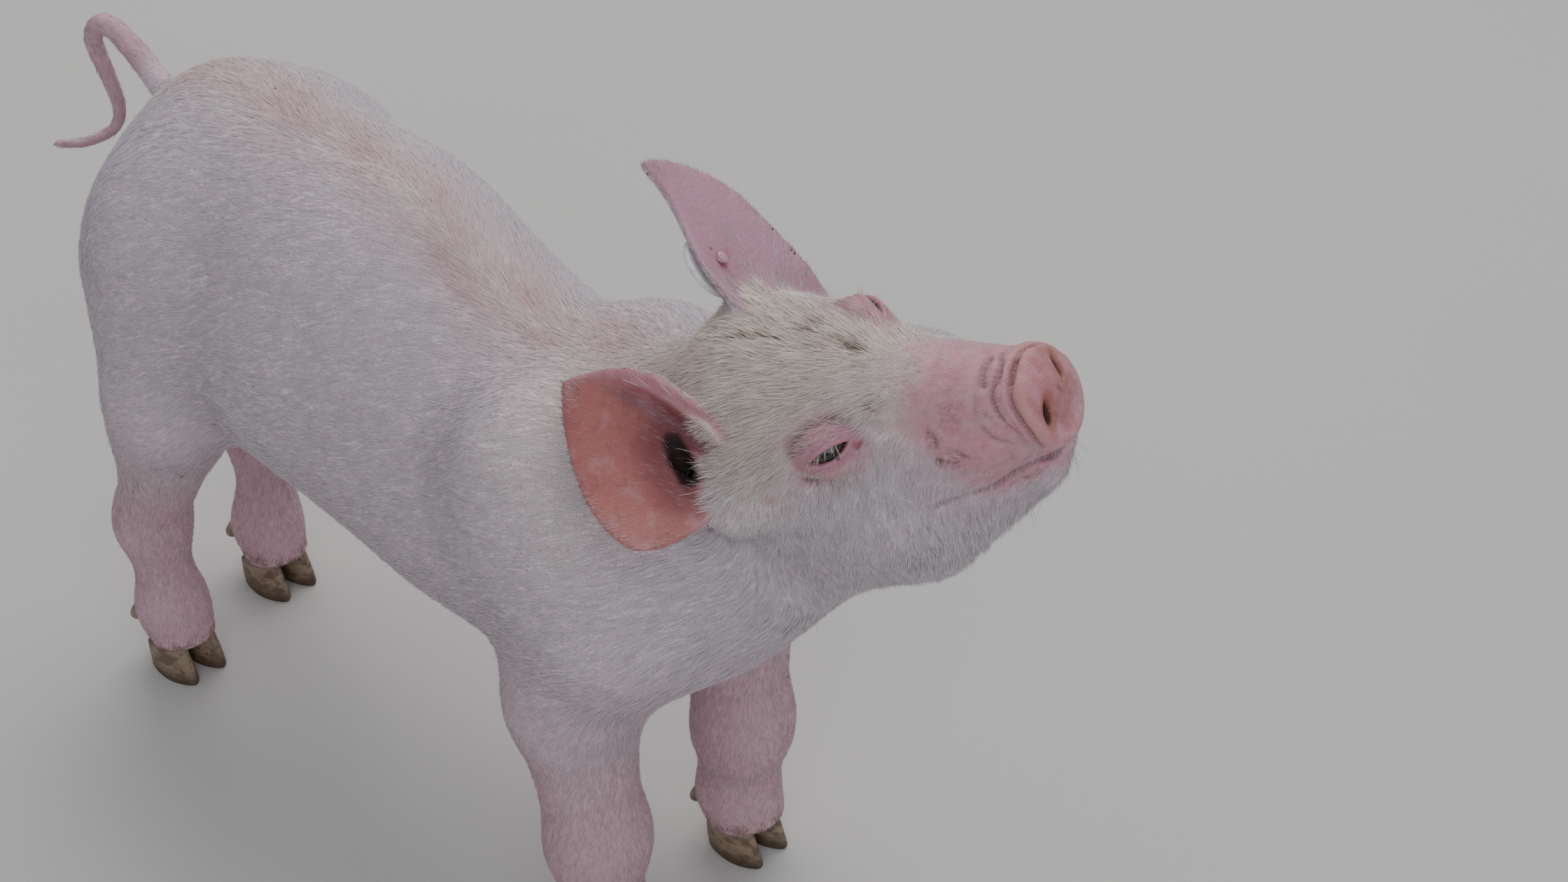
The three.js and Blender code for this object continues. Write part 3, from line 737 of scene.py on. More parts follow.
def noise(tree, scale, detail=3, stretch=(1, 1, 1), roughness=0.55):
    place = addNode(tree, "ShaderNodeTexCoord").outputs["Object"]
    if stretch != (1, 1, 1):
        place = addNode(tree, "ShaderNodeVectorMath", {0: place, 1: stretch}, operation="MULTIPLY").outputs[0]
    return addNode(tree, "ShaderNodeTexNoise", {"Vector": place, "Scale": scale, "Detail": detail,
                                                "Roughness": roughness}).outputs["Fac"]


def ramp(tree, value, low, high):  # 0 at low, 1 at high
    return addNode(tree, "ShaderNodeMapRange", {"Value": value, "From Min": low, "From Max": high},
                   interpolation_type="SMOOTHSTEP").outputs[0]


def newGroup(name, inputs, outputs):
    tree = bpy.data.node_groups.new(name, "ShaderNodeTree")
    for label, kind in inputs.items():
        tree.interface.new_socket(label, in_out="INPUT", socket_type=kind)
    for label, kind in outputs.items():
        tree.interface.new_socket(label, in_out="OUTPUT", socket_type=kind)
    given = tree.nodes.new("NodeGroupInput")
    result = tree.nodes.new("NodeGroupOutput")
    return tree, given.outputs, result.inputs


def placeGroup(tree, group, inputs=()):
    return addNode(tree, "ShaderNodeGroup", inputs, node_tree=group).outputs


number, colour = "NodeSocketFloat", "NodeSocketColor"
# canal is near-black painted shade inside the ear canals and nostrils; root and creamRoot colour the hair
# roots, painted shade deep in the coat with pink skin showing through
# the dirt tone is the colour of mud, and is also painted as shade under the mouth; hollow is a dark red for
# veins and blotches, and for painted shade in the ear hollows
tones = {
    "flesh": "#c6929b", "muzzle": "#ca8998", "rim": "#c48b8c", "face": "#aa6a60", "hollow": "#74383f",
    "canal": "#1f1412", "lid": "#b98091", "nick": "#a8383a", "ear": "#a96762", "paleEar": "#c08fa1",
    "coat": "#e7e4ee", "cream": "#fff4e6", "pale": "#d3a8b1", "root": "#b4969a",
    "creamRoot": "#b69a8f", "dirtAndShade": "#55402d", "shadow": "#76535a",
}


def makeGrimeAndShade():  # brown smears as strong as the first input asks, for mud and for painted shade alike, and a few specks all over
    tree, given, result = newGroup("grimeAndShade", {"DirtAndShade": number, "Specks": number}, {"Mask": number})
    smear = ramp(tree, noise(tree, 260, 4, (0.45, 1, 1)), 0.44, 0.62)
    smear = maths(tree, "MULTIPLY", smear, given["DirtAndShade"])
    place = addNode(tree, "ShaderNodeTexCoord").outputs["Object"]
    cells = addNode(tree, "ShaderNodeTexVoronoi", {"Vector": place, "Scale": 95.0})
    dots = maths(tree, "SUBTRACT", 1, ramp(tree, cells.outputs["Distance"], 0.05, 0.11))
    few = ramp(tree, noise(tree, 55, 2), 0.6, 0.66)
    dots = maths(tree, "MULTIPLY", maths(tree, "MULTIPLY", dots, few), given["Specks"])
    tree.links.new(maths(tree, "MAXIMUM", smear, dots), result["Mask"])
    return tree


def makeLie():  # fine streaks along the body, the legs and the head, as of hair lying flat
    tree, given, result = newGroup("lie of the coat", {"Leg": number, "Head": number}, {"Height": number})
    body = noise(tree, 1900, 3, (0.1, 1, 1), 0.7)
    leg = noise(tree, 1900, 3, (1, 1, 0.1), 0.7)
    face = noise(tree, 2200, 3, (0.12, 0.8, 1), 0.7)
    low = maths(tree, "ADD", body, maths(tree, "MULTIPLY", given["Leg"], maths(tree, "SUBTRACT", leg, body)))
    full = maths(tree, "ADD", low, maths(tree, "MULTIPLY", given["Head"], maths(tree, "SUBTRACT", face, low)))
    tree.links.new(full, result["Height"])
    return tree


def makePores():  # the grain of bare skin: pores, with fine creases between them
    tree, given, result = newGroup("pores", {"Scale": number}, {"Height": number})
    place = addNode(tree, "ShaderNodeTexCoord").outputs["Object"]
    cells = addNode(tree, "ShaderNodeTexVoronoi", {"Vector": place, "Scale": given["Scale"]})
    grain = noise(tree, 420, 4)
    tree.links.new(maths(tree, "ADD", maths(tree, "MULTIPLY", cells.outputs["Distance"], 0.6), grain),
                   result["Height"])
    return tree


def makeCoatTone():  # the colour of the hairs, the same on the skin under them
    inputs = {name: number for name in ("Cream", "Pink", "Random", "DirtAndShade", "Specks")}
    tree, given, result = newGroup("coat tone", inputs, {"Colour": colour})
    tone = mixed(tree, given["Cream"], tones["coat"], tones["cream"])
    tone = mixed(tree, maths(tree, "MULTIPLY", given["Pink"], 0.68), tone, tones["flesh"])
    value = maths(tree, "ADD", 0.78, maths(tree, "MULTIPLY", given["Random"], 0.38))
    grey = addNode(tree, "ShaderNodeCombineColor", {0: value, 1: value, 2: value}).outputs[0]
    tone = mixed(tree, 1.0, tone, grey, "MULTIPLY")
    # mud, and the painted shade under the mouth, in the dirt tone
    soilAndShade = placeGroup(tree, groups["grimeAndShade"], {"DirtAndShade": given["DirtAndShade"], "Specks": given["Specks"]})["Mask"]
    tree.links.new(mixed(tree, soilAndShade, tone, tones["dirtAndShade"]), result["Colour"])
    return tree


groups = {"grimeAndShade": makeGrimeAndShade(), "lie": makeLie(), "pores": makePores()}
groups["coatTone"] = makeCoatTone()


def newMaterial(name, tone, roughness):  # the material, its nodes and its shader
    material = bpy.data.materials.new(name)
    material.use_nodes = True
    shader = material.node_tree.nodes["Principled BSDF"]
    shader.inputs["Base Color"].default_value = (*shade(tone), 1)
    shader.inputs["Roughness"].default_value = roughness
    return material, material.node_tree, shader


def attribute(tree, name):
    return addNode(tree, "ShaderNodeAttribute", attribute_name=name).outputs["Fac"]


def bumped(tree, shader, height, distance, strength):
    bump = addNode(tree, "ShaderNodeBump", {"Height": height, "Distance": distance, "Strength": strength})
    tree.links.new(bump.outputs["Normal"], shader.inputs["Normal"])


def fleshTone(tree, mottle, blotch):
    flesh = mixed(tree, ramp(tree, mottle, 0.3, 0.7), tones["flesh"], tones["muzzle"])
    flesh = mixed(tree, maths(tree, "MULTIPLY", ramp(tree, blotch, 0.46, 0.68), 0.5), flesh, tones["pale"])
    return mixed(tree, maths(tree, "MULTIPLY", ramp(tree, blotch, 0.46, 0.3), 0.2), flesh, tones["hollow"])


def earTone(tree, paleEar, mottle, blotch):  # the thin skin inside an ear, redder where veins show
    veined = maths(tree, "SUBTRACT", 0.24, maths(tree, "MULTIPLY", paleEar, 0.18))
    red = maths(tree, "MULTIPLY", ramp(tree, blotch, 0.5, 0.68), veined)
    pale = maths(tree, "MULTIPLY", ramp(tree, mottle, 0.5, 0.3), 0.3)
    tone = mixed(tree, paleEar, tones["ear"], tones["paleEar"])
    return mixed(tree, pale, mixed(tree, red, tone, tones["hollow"]), tones["pale"])


def skinTone(tree, mask, lie):  # flesh under the coat's own colour, then each marking over it, with painted shade in the ear hollows, ear canals, nostrils and folds and under the mouth
    hair = placeGroup(tree, groups["coatTone"], {
        "Cream": mask["cream"], "Pink": mask["pink"], "Random": lie, "DirtAndShade": mask["dirtAndShade"],
        "Specks": 1.0})["Colour"]
    mottle = noise(tree, 90, 4)
    blotch = noise(tree, 240, 5)
    furred = maths(tree, "SUBTRACT", 0.85, maths(tree, "MULTIPLY", mask["bare"], 0.85))
    covered = maths(tree, "MULTIPLY", ramp(tree, lie, 0.32, 0.55), furred)
    tone = mixed(tree, covered, fleshTone(tree, mottle, blotch), hair)
    tone = mixed(tree, mask["ear"], tone, earTone(tree, mask["paleEar"], mottle, blotch))
    tone = mixed(tree, mask["rim"], tone, tones["rim"])
    brown = maths(tree, "ADD", 0.7, maths(tree, "MULTIPLY", mottle, 0.4))
    tone = mixed(tree, maths(tree, "MULTIPLY", mask["face"], brown), tone, tones["face"])
    tone = mixed(tree, mask["lid"], tone, tones["lid"])
    # painted shade in the ear's hollow, broken up by the mottle
    hollow = maths(tree, "ADD", 0.6, maths(tree, "MULTIPLY", mottle, 0.5))
    tone = mixed(tree, maths(tree, "MULTIPLY", mask["hollow"], hollow), tone, tones["hollow"])
    tone = mixed(tree, mask["nick"], tone, tones["nick"])
    tone = mixed(tree, maths(tree, "MULTIPLY", mask["crease"], 0.55), tone, tones["shadow"])
    # painted shade: near-black inside the ear canals and the nostrils
    tone = mixed(tree, mask["canal"], tone, tones["canal"])
    # mud, and the painted shade under the mouth, in the dirt tone
    soilAndShade = placeGroup(tree, groups["grimeAndShade"], {"DirtAndShade": mask["dirtAndShade"], "Specks": 1.0})["Mask"]
    return mixed(tree, maths(tree, "MULTIPLY", soilAndShade, 0.75), tone, tones["dirtAndShade"])


def skinRelief(tree, mask, lie):  # pores and wrinkles where it is bare, streaks of lying hair elsewhere
    pores = placeGroup(tree, groups["pores"], {"Scale": 1500.0})["Height"]
    wrinkles = noise(tree, 620, 3, (1, 0.3, 0.3), 0.6)
    pores = maths(tree, "ADD", pores, maths(tree, "MULTIPLY", wrinkles, 1.6))
    streaks = maths(tree, "SUBTRACT", 1.6, maths(tree, "MULTIPLY", mask["bare"], 1.5))
    streaks = maths(tree, "MULTIPLY", lie, streaks)
    return maths(tree, "ADD", maths(tree, "MULTIPLY", pores, mask["bare"]), streaks)


def makeSkinMaterial():
    material, tree, shader = newMaterial("piglet skin", tones["flesh"], 0.55)
    mask = {name: attribute(tree, name) for name in (
        "pink", "cream", "dirtAndShade", "bare", "rim", "hollow", "canal", "lid", "nick", "legLie", "headLie", "ear",
        "paleEar", "face", "crease")}
    lie = placeGroup(tree, groups["lie"], {"Leg": mask["legLie"], "Head": mask["headLie"]})["Height"]
    tree.links.new(skinTone(tree, mask, lie), shader.inputs["Base Color"])
    rough = maths(tree, "SUBTRACT", 0.62, maths(tree, "MULTIPLY", mask["bare"], 0.18))
    rough = maths(tree, "ADD", rough, maths(tree, "MULTIPLY", mask["canal"], 0.4))
    tree.links.new(rough, shader.inputs["Roughness"])
    bumped(tree, shader, skinRelief(tree, mask, lie), 0.0004, 0.6)
    shader.inputs["Specular IOR Level"].default_value = 0.38
    shader.inputs["Subsurface Weight"].default_value = 0.12
    shader.inputs["Subsurface Radius"].default_value = (1.0, 0.35, 0.2)
    shader.inputs["Subsurface Scale"].default_value = 0.003
    return material


def makeCoatMaterial():
    material, tree, shader = newMaterial("piglet coat", tones["coat"], 0.5)
    mask = {name: attribute(tree, name) for name in ("pink", "cream", "dirtAndShade", "tuft", "along", "dark")}
    hair = placeGroup(tree, groups["coatTone"], {"Cream": mask["cream"], "Pink": mask["pink"],
                                                 "Random": mask["tuft"], "DirtAndShade": mask["dirtAndShade"],
                                                 "Specks": 1.0})["Colour"]
    # darker towards each tuft's root: painted shade deep in the coat, with pink skin showing through, and
    # less of it where the skin is pink
    root = maths(tree, "MULTIPLY", maths(tree, "SUBTRACT", 1, mask["along"]),
                 maths(tree, "SUBTRACT", 0.7, maths(tree, "MULTIPLY", mask["pink"], 0.5)))
    deep = mixed(tree, mask["cream"], tones["root"], tones["creamRoot"])
    tone = mixed(tree, root, hair, deep)
    tone = mixed(tree, mask["dark"], tone, tones["dirtAndShade"])
    tree.links.new(tone, shader.inputs["Base Color"])
    tree.links.new(maths(tree, "ADD", 0.42, maths(tree, "MULTIPLY", mask["tuft"], 0.16)),
                   shader.inputs["Roughness"])
    shader.inputs["Specular IOR Level"].default_value = 0.35
    return material


def makeEyeMaterial():
    material, tree, shader = newMaterial("eyeball", "#241713", 0.06)
    far = attribute(tree, "fromPupil")
    streak = noise(tree, 900, 3)
    iris = mixed(tree, streak, "#2c1c14", "#4b3323")
    tone = mixed(tree, ramp(tree, far, 2.6, 3.1), "#070505", iris)
    tone = mixed(tree, ramp(tree, far, 6.6, 7.3), tone, "#140d0b")
    tone = mixed(tree, ramp(tree, maths(tree, "ADD", far, maths(tree, "MULTIPLY", streak, 0.6)), 8.2, 9.0),
                 tone, "#5e4a44")
    tree.links.new(tone, shader.inputs["Base Color"])
    bumped(tree, shader, noise(tree, 300, 2), 0.0001, 0.1)
    shader.inputs["Coat Weight"].default_value = 0.5
    shader.inputs["Coat Roughness"].default_value = 0.03
    return material


def makeClawMaterial():
    material, tree, shader = newMaterial("claw horn", "#8d7a68", 0.42)
    high = attribute(tree, "fromSole")
    bands = noise(tree, 420, 4, (0.3, 0.3, 2.2))
    tone = mixed(tree, bands, "#6f5d4c", "#a8937c")
    # darker towards the sole, in a ragged band
    clearOfSole = ramp(tree, maths(tree, "ADD", high, maths(tree, "MULTIPLY", noise(tree, 160, 3), 9)), 5, 14)
    tone = mixed(tree, clearOfSole, "#4a3c2e", tone)
    soilAndShade = placeGroup(tree, groups["grimeAndShade"], {"DirtAndShade": 0.7, "Specks": 1.0})["Mask"]
    tree.links.new(mixed(tree, soilAndShade, tone, tones["dirtAndShade"]), shader.inputs["Base Color"])
    tree.links.new(maths(tree, "ADD", 0.34, maths(tree, "MULTIPLY", bands, 0.3)), shader.inputs["Roughness"])
    bumped(tree, shader, bands, 0.0006, 0.5)
    return material


def makeTagMaterial():
    material, tree, shader = newMaterial("tag plastic", "#d9d8d2", 0.4)
    wear = noise(tree, 300, 5)
    tone = mixed(tree, ramp(tree, wear, 0.4, 0.75), "#f0f1f2", "#d6d6d3")
    soilAndShade = placeGroup(tree, groups["grimeAndShade"], {"DirtAndShade": 0.15, "Specks": 1.0})["Mask"]
    tone = mixed(tree, soilAndShade, tone, "#8b7a63")
    tone = mixed(tree, maths(tree, "MULTIPLY", attribute(tree, "tinted"), 0.93), tone, tones["paleEar"])
    tree.links.new(tone, shader.inputs["Base Color"])
    tree.links.new(maths(tree, "ADD", 0.3, maths(tree, "MULTIPLY", wear, 0.25)), shader.inputs["Roughness"])
    bumped(tree, shader, wear, 0.0002, 0.3)
    return material


def makeFloorMaterial():
    material, tree, shader = newMaterial("pale floor", "#c9c7c4", 0.85)
    tree.links.new(mixed(tree, noise(tree, 3, 3), "#c6c4c1", "#cccac7"), shader.inputs["Base Color"])
    return material


skinMaterial = makeSkinMaterial()
coatMaterial = makeCoatMaterial()
eyeMaterial = makeEyeMaterial()
clawMaterial = makeClawMaterial()
tagMaterial = makeTagMaterial()


# Zones and markings, shared by skin and coat.
def wander(p, size, seed):  # a smooth value from -1 to 1 that drifts over the given distance
    waves = np.random.default_rng(seed).normal(size=(7, 4))
    total = sum(np.sin(p @ (w[:3] / size * 2.2) + w[3] * 9) for w in waves)
    return total / 2.6


def bodyZones(z, p, normal, h):
    x, y, up = p.T
    z["face"] = ease(70, 105, x) * ease(-165, -128, h[:, 0])
    z["leg"] = ease(152, 122, up)
    z["foot"] = ease(62, 26, up)
    z["belly"] = ease(172, 140, up) * ease(52, 22, np.abs(y)) * ease(-150, -110, x) * ease(120, 60, x)
    z["spine"] = bell(y + 4 * wander(p, 30, 7), 19) * ease(0.3, 0.7, normal[:, 2])
    z["spine"] = z["spine"] * ease(100, 50, x) * ease(-215, -170, x)
    z["tail"] = ease(-206, -226, x) * ease(232, 245, up) * ease(6, 2, tailField(p.astype(np.float32)))


def muzzleZones(z, p, h):
    lowJaw = ease(-24, -33, h[:, 2])
    edge = h[:, 0] + 5 * wander(p, 9, 31) - 9 * ease(8, -12, h[:, 2])
    z["bare"] = z["face"] * ease(-63, -34, edge) * (1 - 0.85 * lowJaw * ease(-9, -15, h[:, 0]))
    z["jaw"] = z["face"] * lowJaw * ease(-100, -60, h[:, 0])
    q = into(discFrame, h)
    ring = np.hypot(q[:, 1] / disc["wide"], q[:, 2] / disc["high"])
    z["disc"] = ease(-8, -2, q[:, 0]) * ease(1.35, 1.1, ring) * z["face"]
    z["rim"] = z["disc"] * ease(0.62, 0.9, ring) * ease(-0.7, 0.2, q[:, 2] / disc["high"])
    z["dish"] = z["disc"] * ease(2.9, 1.2, nostrilOval(q)) * ease(-2.5, -0.5, q[:, 0])
    z["dish"] = np.maximum(z["dish"], 0.55 * z["disc"] * ease(0.85, 0.5, ring + 0.2 * wander(p, 8, 3)))
    # the nostrils, whose walls are painted near-black as shade
    z["nostril"] = ease(1.3, 0.85, nostrilOval(q)) * ease(1.2, -0.8, q[:, 0]) * z["face"]


def eyeZones(z, p, h):
    z["lid"], z["around"], z["upperLid"] = np.zeros(len(p)), np.zeros(len(p)), np.zeros(len(p))
    for place in eyes.values():
        u, v, w = into(place, h.astype(np.float32)).T
        far = np.sqrt(u * u + v * v + w * w)
        near = ease(21, 15, far) * (w > -4)
        over = np.hypot(np.maximum(np.abs(v - 0.3) - lidGap(u), 0), np.maximum(np.abs(u) - 9.4, 0) * 0.8)
        z["lid"] = np.maximum(z["lid"], near * ease(5.5, 1.5, over))
        ring = np.sqrt((u / 1.4 - 1) ** 2 + np.where(v > 0, v / 1.15, v / 1.05) ** 2 + w * w * 0.3)
        ring = ring + 2.5 * wander(p, 6, 19)
        z["around"] = np.maximum(z["around"], ease(19, 8, ring) * z["face"])
        upper = near * ease(2, 5, v) * ease(15, 10, v) * ease(16, 11, np.abs(u))
        z["upperLid"] = np.maximum(z["upperLid"], upper)


def earZones(z, p):
    for name in ("ear", "inner", "earRim", "hollow", "canal", "fringe"):
        z[name] = np.zeros(len(p))
    z["earWay"] = np.zeros((len(p), 3))
    for ear in ears.values():
        near = p.astype(np.float32)
        along, across, above, t = earPlace(near, ear)
        field = earField(near, ear)
        on = ease(3.2, 1.2, field) * ease(-9, 4, along + 10 * ease(8, 18, np.abs(across)))
        margin = np.maximum(np.where(across > 0, leaf(ear["front"], t), leaf(ear["rear"], t)), 2)
        share = np.abs(across) / margin
        canal = canalField(into(ear["frame"], near), ear)
        inner = on * ease(-0.6, 0.6, above)
        z["ear"] = np.maximum(z["ear"], on)
        z["inner"] = np.maximum(z["inner"], inner)
        z["earRim"] = np.maximum(z["earRim"], on * ease(0.78, 0.95, np.maximum(share, along / ear["long"])))
        # painted shade in the ear's hollow, near the canal and in the furrow under the roll: full in the
        # right ear, faint in the left
        deep = 1 if ear["side"] < 0 else 0.2
        furrow = ease(0.85, 0.5, share) * ease(48, 12, along) * ease(-20, 0, across)
        red = np.maximum(ease(20, 2, canal) * ease(0.95, 0.5, share), 0.95 * furrow)
        z["hollow"] = np.maximum(z["hollow"], deep * inner * red)
        velvet = np.maximum(ease(0.35, 0.75, share), ease(10, -4, along)) * (across > 0)
        velvet = velvet * (0.7 if ear["side"] < 0 else 1) * (1 - furrow)
        z["fringe"] = np.maximum(z["fringe"], inner * velvet)
        if ear["side"] > 0:
            z["fringe"] = np.maximum(z["fringe"], inner * ease(44, 6, along + 6 * wander(p, 8, 51)))
        # the canal's walls, painted near-black as shade
        z["canal"] = np.maximum(z["canal"], ease(2.4, -0.3, canal))
        z["inner"] = np.maximum(z["inner"], z["canal"])
        way = np.stack([np.ones(len(p)), ear["side"] * 0.9 * across / 30, np.zeros(len(p))], 1)
        z["earWay"] += (way @ ear["frame"]["axes"]) * on[:, None]


def zonesOf(p, normal):  # how far each zone of the body claims each point, 0 to 1
    h = into(head, p)
    z = {}
    bodyZones(z, p, normal, h)
    muzzleZones(z, p, h)
    eyeZones(z, p, h)
    earZones(z, p)
    return z, h


mudAndShadePatches = [  # places of dried mud in the head's frame, and one patch of painted shade under the mouth: where, how wide, how strong
    ((-82, 16, 40), (3, 3, 5), 1.1), ((-86, 10, 41), (6, 1.2, 5), 1.0), ((-65, 5, 35), (4, 2, 4), 1.2),
    ((-70, 8, 37), (8, 1.2, 5), 0.7), ((-76, 3, 40), (7, 1, 5), 0.5), ((-104, 6, 48), (19, 0.9, 8), 0.8),
    ((-120, 12, 47), (12, 0.9, 7), 0.5), ((-171, 31, 33), (4, 2, 8), 0.4),
    ((-41, -21, 10), (2, 3, 5), 0.9), ((-42.5, -25.2, 1), (1.6, 2, 1.6), 1.4),
    ((-33, -17, 13), (7, 3, 3), 0.45), ((-30, -14, 17), (5, 4, 2.5), 0.5), ((-36, -24, -1), (6, 4, 4), 0.9),
    ((-88, -38, 14), (3.5, 3, 2.5), 1.2), ((-68.5, -28, 19), (2, 2, 3), 0.8),
    # the first patch below, under the mouth, is painted shade in the dirt tone, not mud
    ((-24, -19, -25), (12, 6, 5), 0.5), ((4, 0.5, 3.7), (4, 1, 5), 0.9), ((2, 9, 1), (5, 4, 7), 0.5),
    ((2, -9, 1), (5, 4, 7), 0.5), ((-57, -15, 26), (8, 2, 3), 0.6), ((-80, -40, 5), (9, 4, 4), 0.4),
    ((-48, -18, 20), (4, 3, 3), 0.3),
]
nicks = [((-107.7, -44.2, 12.8), 2.6), ((-133, 44, 48), 3.0), ((-137, 50, 44), 1.8), ((-56, -14, 26), 1.6),
         ((-66, -27, 20), 1.8), ((-62, -22, 24), 1.2)]


def markingsOf(p, z, h):
    m = {}
    y, up = p[:, 1], p[:, 2]
    m["pink"] = np.clip((0.75 + 0.3 * wander(p, 12, 23)) * z["spine"] + 0.5 * z["belly"] + 0.2 * z["foot"]
                        + z["tail"] + 1.0 * ease(225, 70, up) + 0.07 * wander(p, 34, 29) + 0.06
                        + 0.8 * z["upperLid"] + 0.9 * z["lid"] + 0.75 * z["around"] + 0.8 * z["bare"]
                        + 0.8 * z["inner"], 0, 1)
    drift = 7 * wander(p, 22, 41)
    above = 0.04 + 0.96 * ease(-2, 42, h[:, 2] + drift)
    m["cream"] = ease(-285, -140, h[:, 0] + 2 * drift) * above * ease(0, 90, p[:, 0]) * (1 - z["ear"])
    m["cream"] = np.maximum(m["cream"], 0.6 * z["spine"])
    # mud from the patches above, the painted shade under the mouth among them, then dirt along the ear rims
    # and on the feet
    dirtAndShade = np.zeros(len(p))
    for place, wide, strong in mudAndShadePatches:
        dirtAndShade = np.maximum(dirtAndShade, strong * bell(lengthOf((h - np.float32(place)) / np.float32(wide)), 1))
    dirtAndShade = np.maximum(dirtAndShade, 0.24 * z["earRim"] * ease(40, 62, lengthOf(h - np.float32((-130, -37, 27)))))
    dirtAndShade = np.maximum(dirtAndShade, 0.5 * ease(34, 18, up))
    m["dirtAndShade"] = dirtAndShade * (p[:, 0] > 60) + 0.5 * ease(34, 18, up) * (p[:, 0] <= 60)
    m["nick"] = np.zeros(len(p))
    for place, wide in nicks:
        m["nick"] = np.maximum(m["nick"], 0.8 * bell(lengthOf(h - np.float32(place)), wide))
    m["bare"] = np.clip(z["bare"] + z["lid"] + 0.9 * z["inner"], 0, 1)
    return m


skinNormals = normalsOf(skinVerts, skinTris)
skinZones, skinHead = zonesOf(skinVerts, skinNormals)
skinMarks = markingsOf(skinVerts, skinZones, skinHead)

skin = meshObject("piglet_skin", skinVerts, skinTris, skinMaterial)
for name in ("pink", "cream", "dirtAndShade", "bare", "nick"):
    giveValue(skin, name, skinMarks[name])
giveValue(skin, "rim", np.clip(skinZones["rim"], 0, 1))
# painted shade in the ear hollows
giveValue(skin, "hollow", skinZones["hollow"])
giveValue(skin, "face", skinZones["dish"])
# painted shade: near-black inside the ear canals and the nostrils
giveValue(skin, "canal", np.maximum(skinZones["canal"], skinZones["nostril"]))
lidTone = skinZones["lid"] + 0.7 * skinZones["upperLid"] + 0.6 * skinZones["around"]
giveValue(skin, "lid", np.clip(lidTone, 0, 1))
giveValue(skin, "ear", skinZones["inner"])
giveValue(skin, "paleEar", np.maximum(ease(-10, 10, skinHead[:, 1]), 0.55 * skinZones["fringe"]))
giveValue(skin, "crease", ease(0.25, 1.6, foldDepth))
giveValue(skin, "legLie", skinZones["leg"])
giveValue(skin, "headLie", skinZones["face"])
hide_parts("trunk", "neck", "head", "lower_jaw", "snout_disc", "tail", "ear_right", "ear_left",
            *[name + "_leg" for name in legs])
print("skin made", flush=True)

# The coat, as thin tufts of solid mesh. Each zone has its tufts on a square millimetre, their length and
# width in millimetres, and the degrees by which they stand up.
coat = {
    "body": (0.86, 7.0, 0.32, 5), "spine": (0.95, 7.5, 0.32, 7), "belly": (0.4, 7.5, 0.32, 8),
    "leg": (0.8, 4.6, 0.3, 6), "foot": (0.85, 3.2, 0.28, 7), "face": (1.9, 5.6, 0.24, 9),
    "forehead": (2.1, 8.0, 0.24, 11), "jaw": (1.8, 6.6, 0.24, 14), "bare": (0.7, 2.9, 0.1, 12),
    "disc": (0.0, 1.0, 0.15, 20), "around": (1.3, 3.8, 0.17, 8), "upperLid": (1.6, 3.4, 0.17, 10),
    "lid": (0.9, 2.2, 0.12, 12), "ear": (1.0, 4.0, 0.24, 9), "inner": (0.16, 3.0, 0.08, 6),
    "fringe": (1.1, 4.0, 0.16, 10), "earRim": (1.2, 3.2, 0.16, 16), "hollow": (0.05, 4.0, 0.12, 10),
    "canal": (0.0, 3.0, 0.2, 20), "nostril": (0.0, 1.0, 0.1, 10), "tail": (0.5, 4.5, 0.26, 9),
}


def coatStyle(z, h):
    z = dict(z)
    z["forehead"] = z["face"] * ease(12, 30, h[:, 2]) * ease(-160, -130, h[:, 0]) * ease(-52, -70, h[:, 0])
    style = np.tile(np.array(coat["body"], float), (len(h), 1))
    for name in ("spine", "belly", "leg", "foot", "face", "forehead", "jaw", "around", "upperLid", "bare",
                 "disc", "lid", "tail", "ear", "inner", "hollow", "fringe", "earRim", "canal", "nostril"):
        style = mix(style, np.array(coat[name], float), np.clip(z[name], 0, 1)[:, None])
    return style


def lieOf(p, normal, z, h):  # which way the coat lies at each point
    side = np.tanh(p[:, 1] / 14)
    flank = np.clip(np.abs(p[:, 1]) / 75, 0, 1)
    rump = ease(-150, -215, p[:, 0])
    body = np.stack([-1 + 0.7 * rump, side * (0.45 - 0.3 * flank), -0.15 - 0.5 * flank - 0.9 * rump], 1)
    leg = np.tile([-0.25, 0, -1.0], (len(p), 1))
    way = mix(body, leg, ease(185, 130, p[:, 2])[:, None])
    cheek = ease(30, 4, h[:, 2]) * ease(-165, -125, h[:, 0]) * ease(-12, -45, h[:, 0])
    faceLocal = np.stack([-1 + 0.5 * cheek, 0.18 * np.tanh(h[:, 1] / 10), -0.1 - 1.0 * cheek], 1)
    face = faceLocal @ head["axes"]
    way = mix(way, face, z["face"][:, None])
    way = mix(way, z["earWay"], (z["ear"] > 0.05)[:, None] * np.clip(z["ear"] * 1.4, 0, 1)[:, None])
    onTail = np.nonzero(z["tail"] > 0.02)[0]
    nearest = np.zeros(len(p), int)
    nearest[onTail] = np.argmin(np.linalg.norm(p[onTail][:, None] - tailLine[None, :-1], axis=2), 1)
    way = mix(way, unit(np.diff(tailLine, axis=0))[nearest], z["tail"][:, None])
    return unit(alongSkin(way, normal))


def skinAreas():
    corners = skinVerts[skinTris]
    return np.linalg.norm(np.cross(corners[:, 1] - corners[:, 0], corners[:, 2] - corners[:, 0]), axis=1) / 2


def rootsOn(style):  # seats the tufts on the skin, more of them where the style is denser
    wanted = skinAreas() * style[:, 0][skinTris].mean(1)
    count = rng.poisson(wanted)
    face = np.repeat(np.arange(len(skinTris)), count)
    a, b = rng.random((2, len(face)))
    flip = a + b > 1
    a, b = np.where(flip, 1 - a, a), np.where(flip, 1 - b, b)
    return face, np.stack([1 - a - b, a, b], 1)


def spread(values, face, share):  # a value of the skin's points carried to the roots
    corner = values[skinTris[face]]
    return np.einsum("ij,ij...->i...", share, corner)


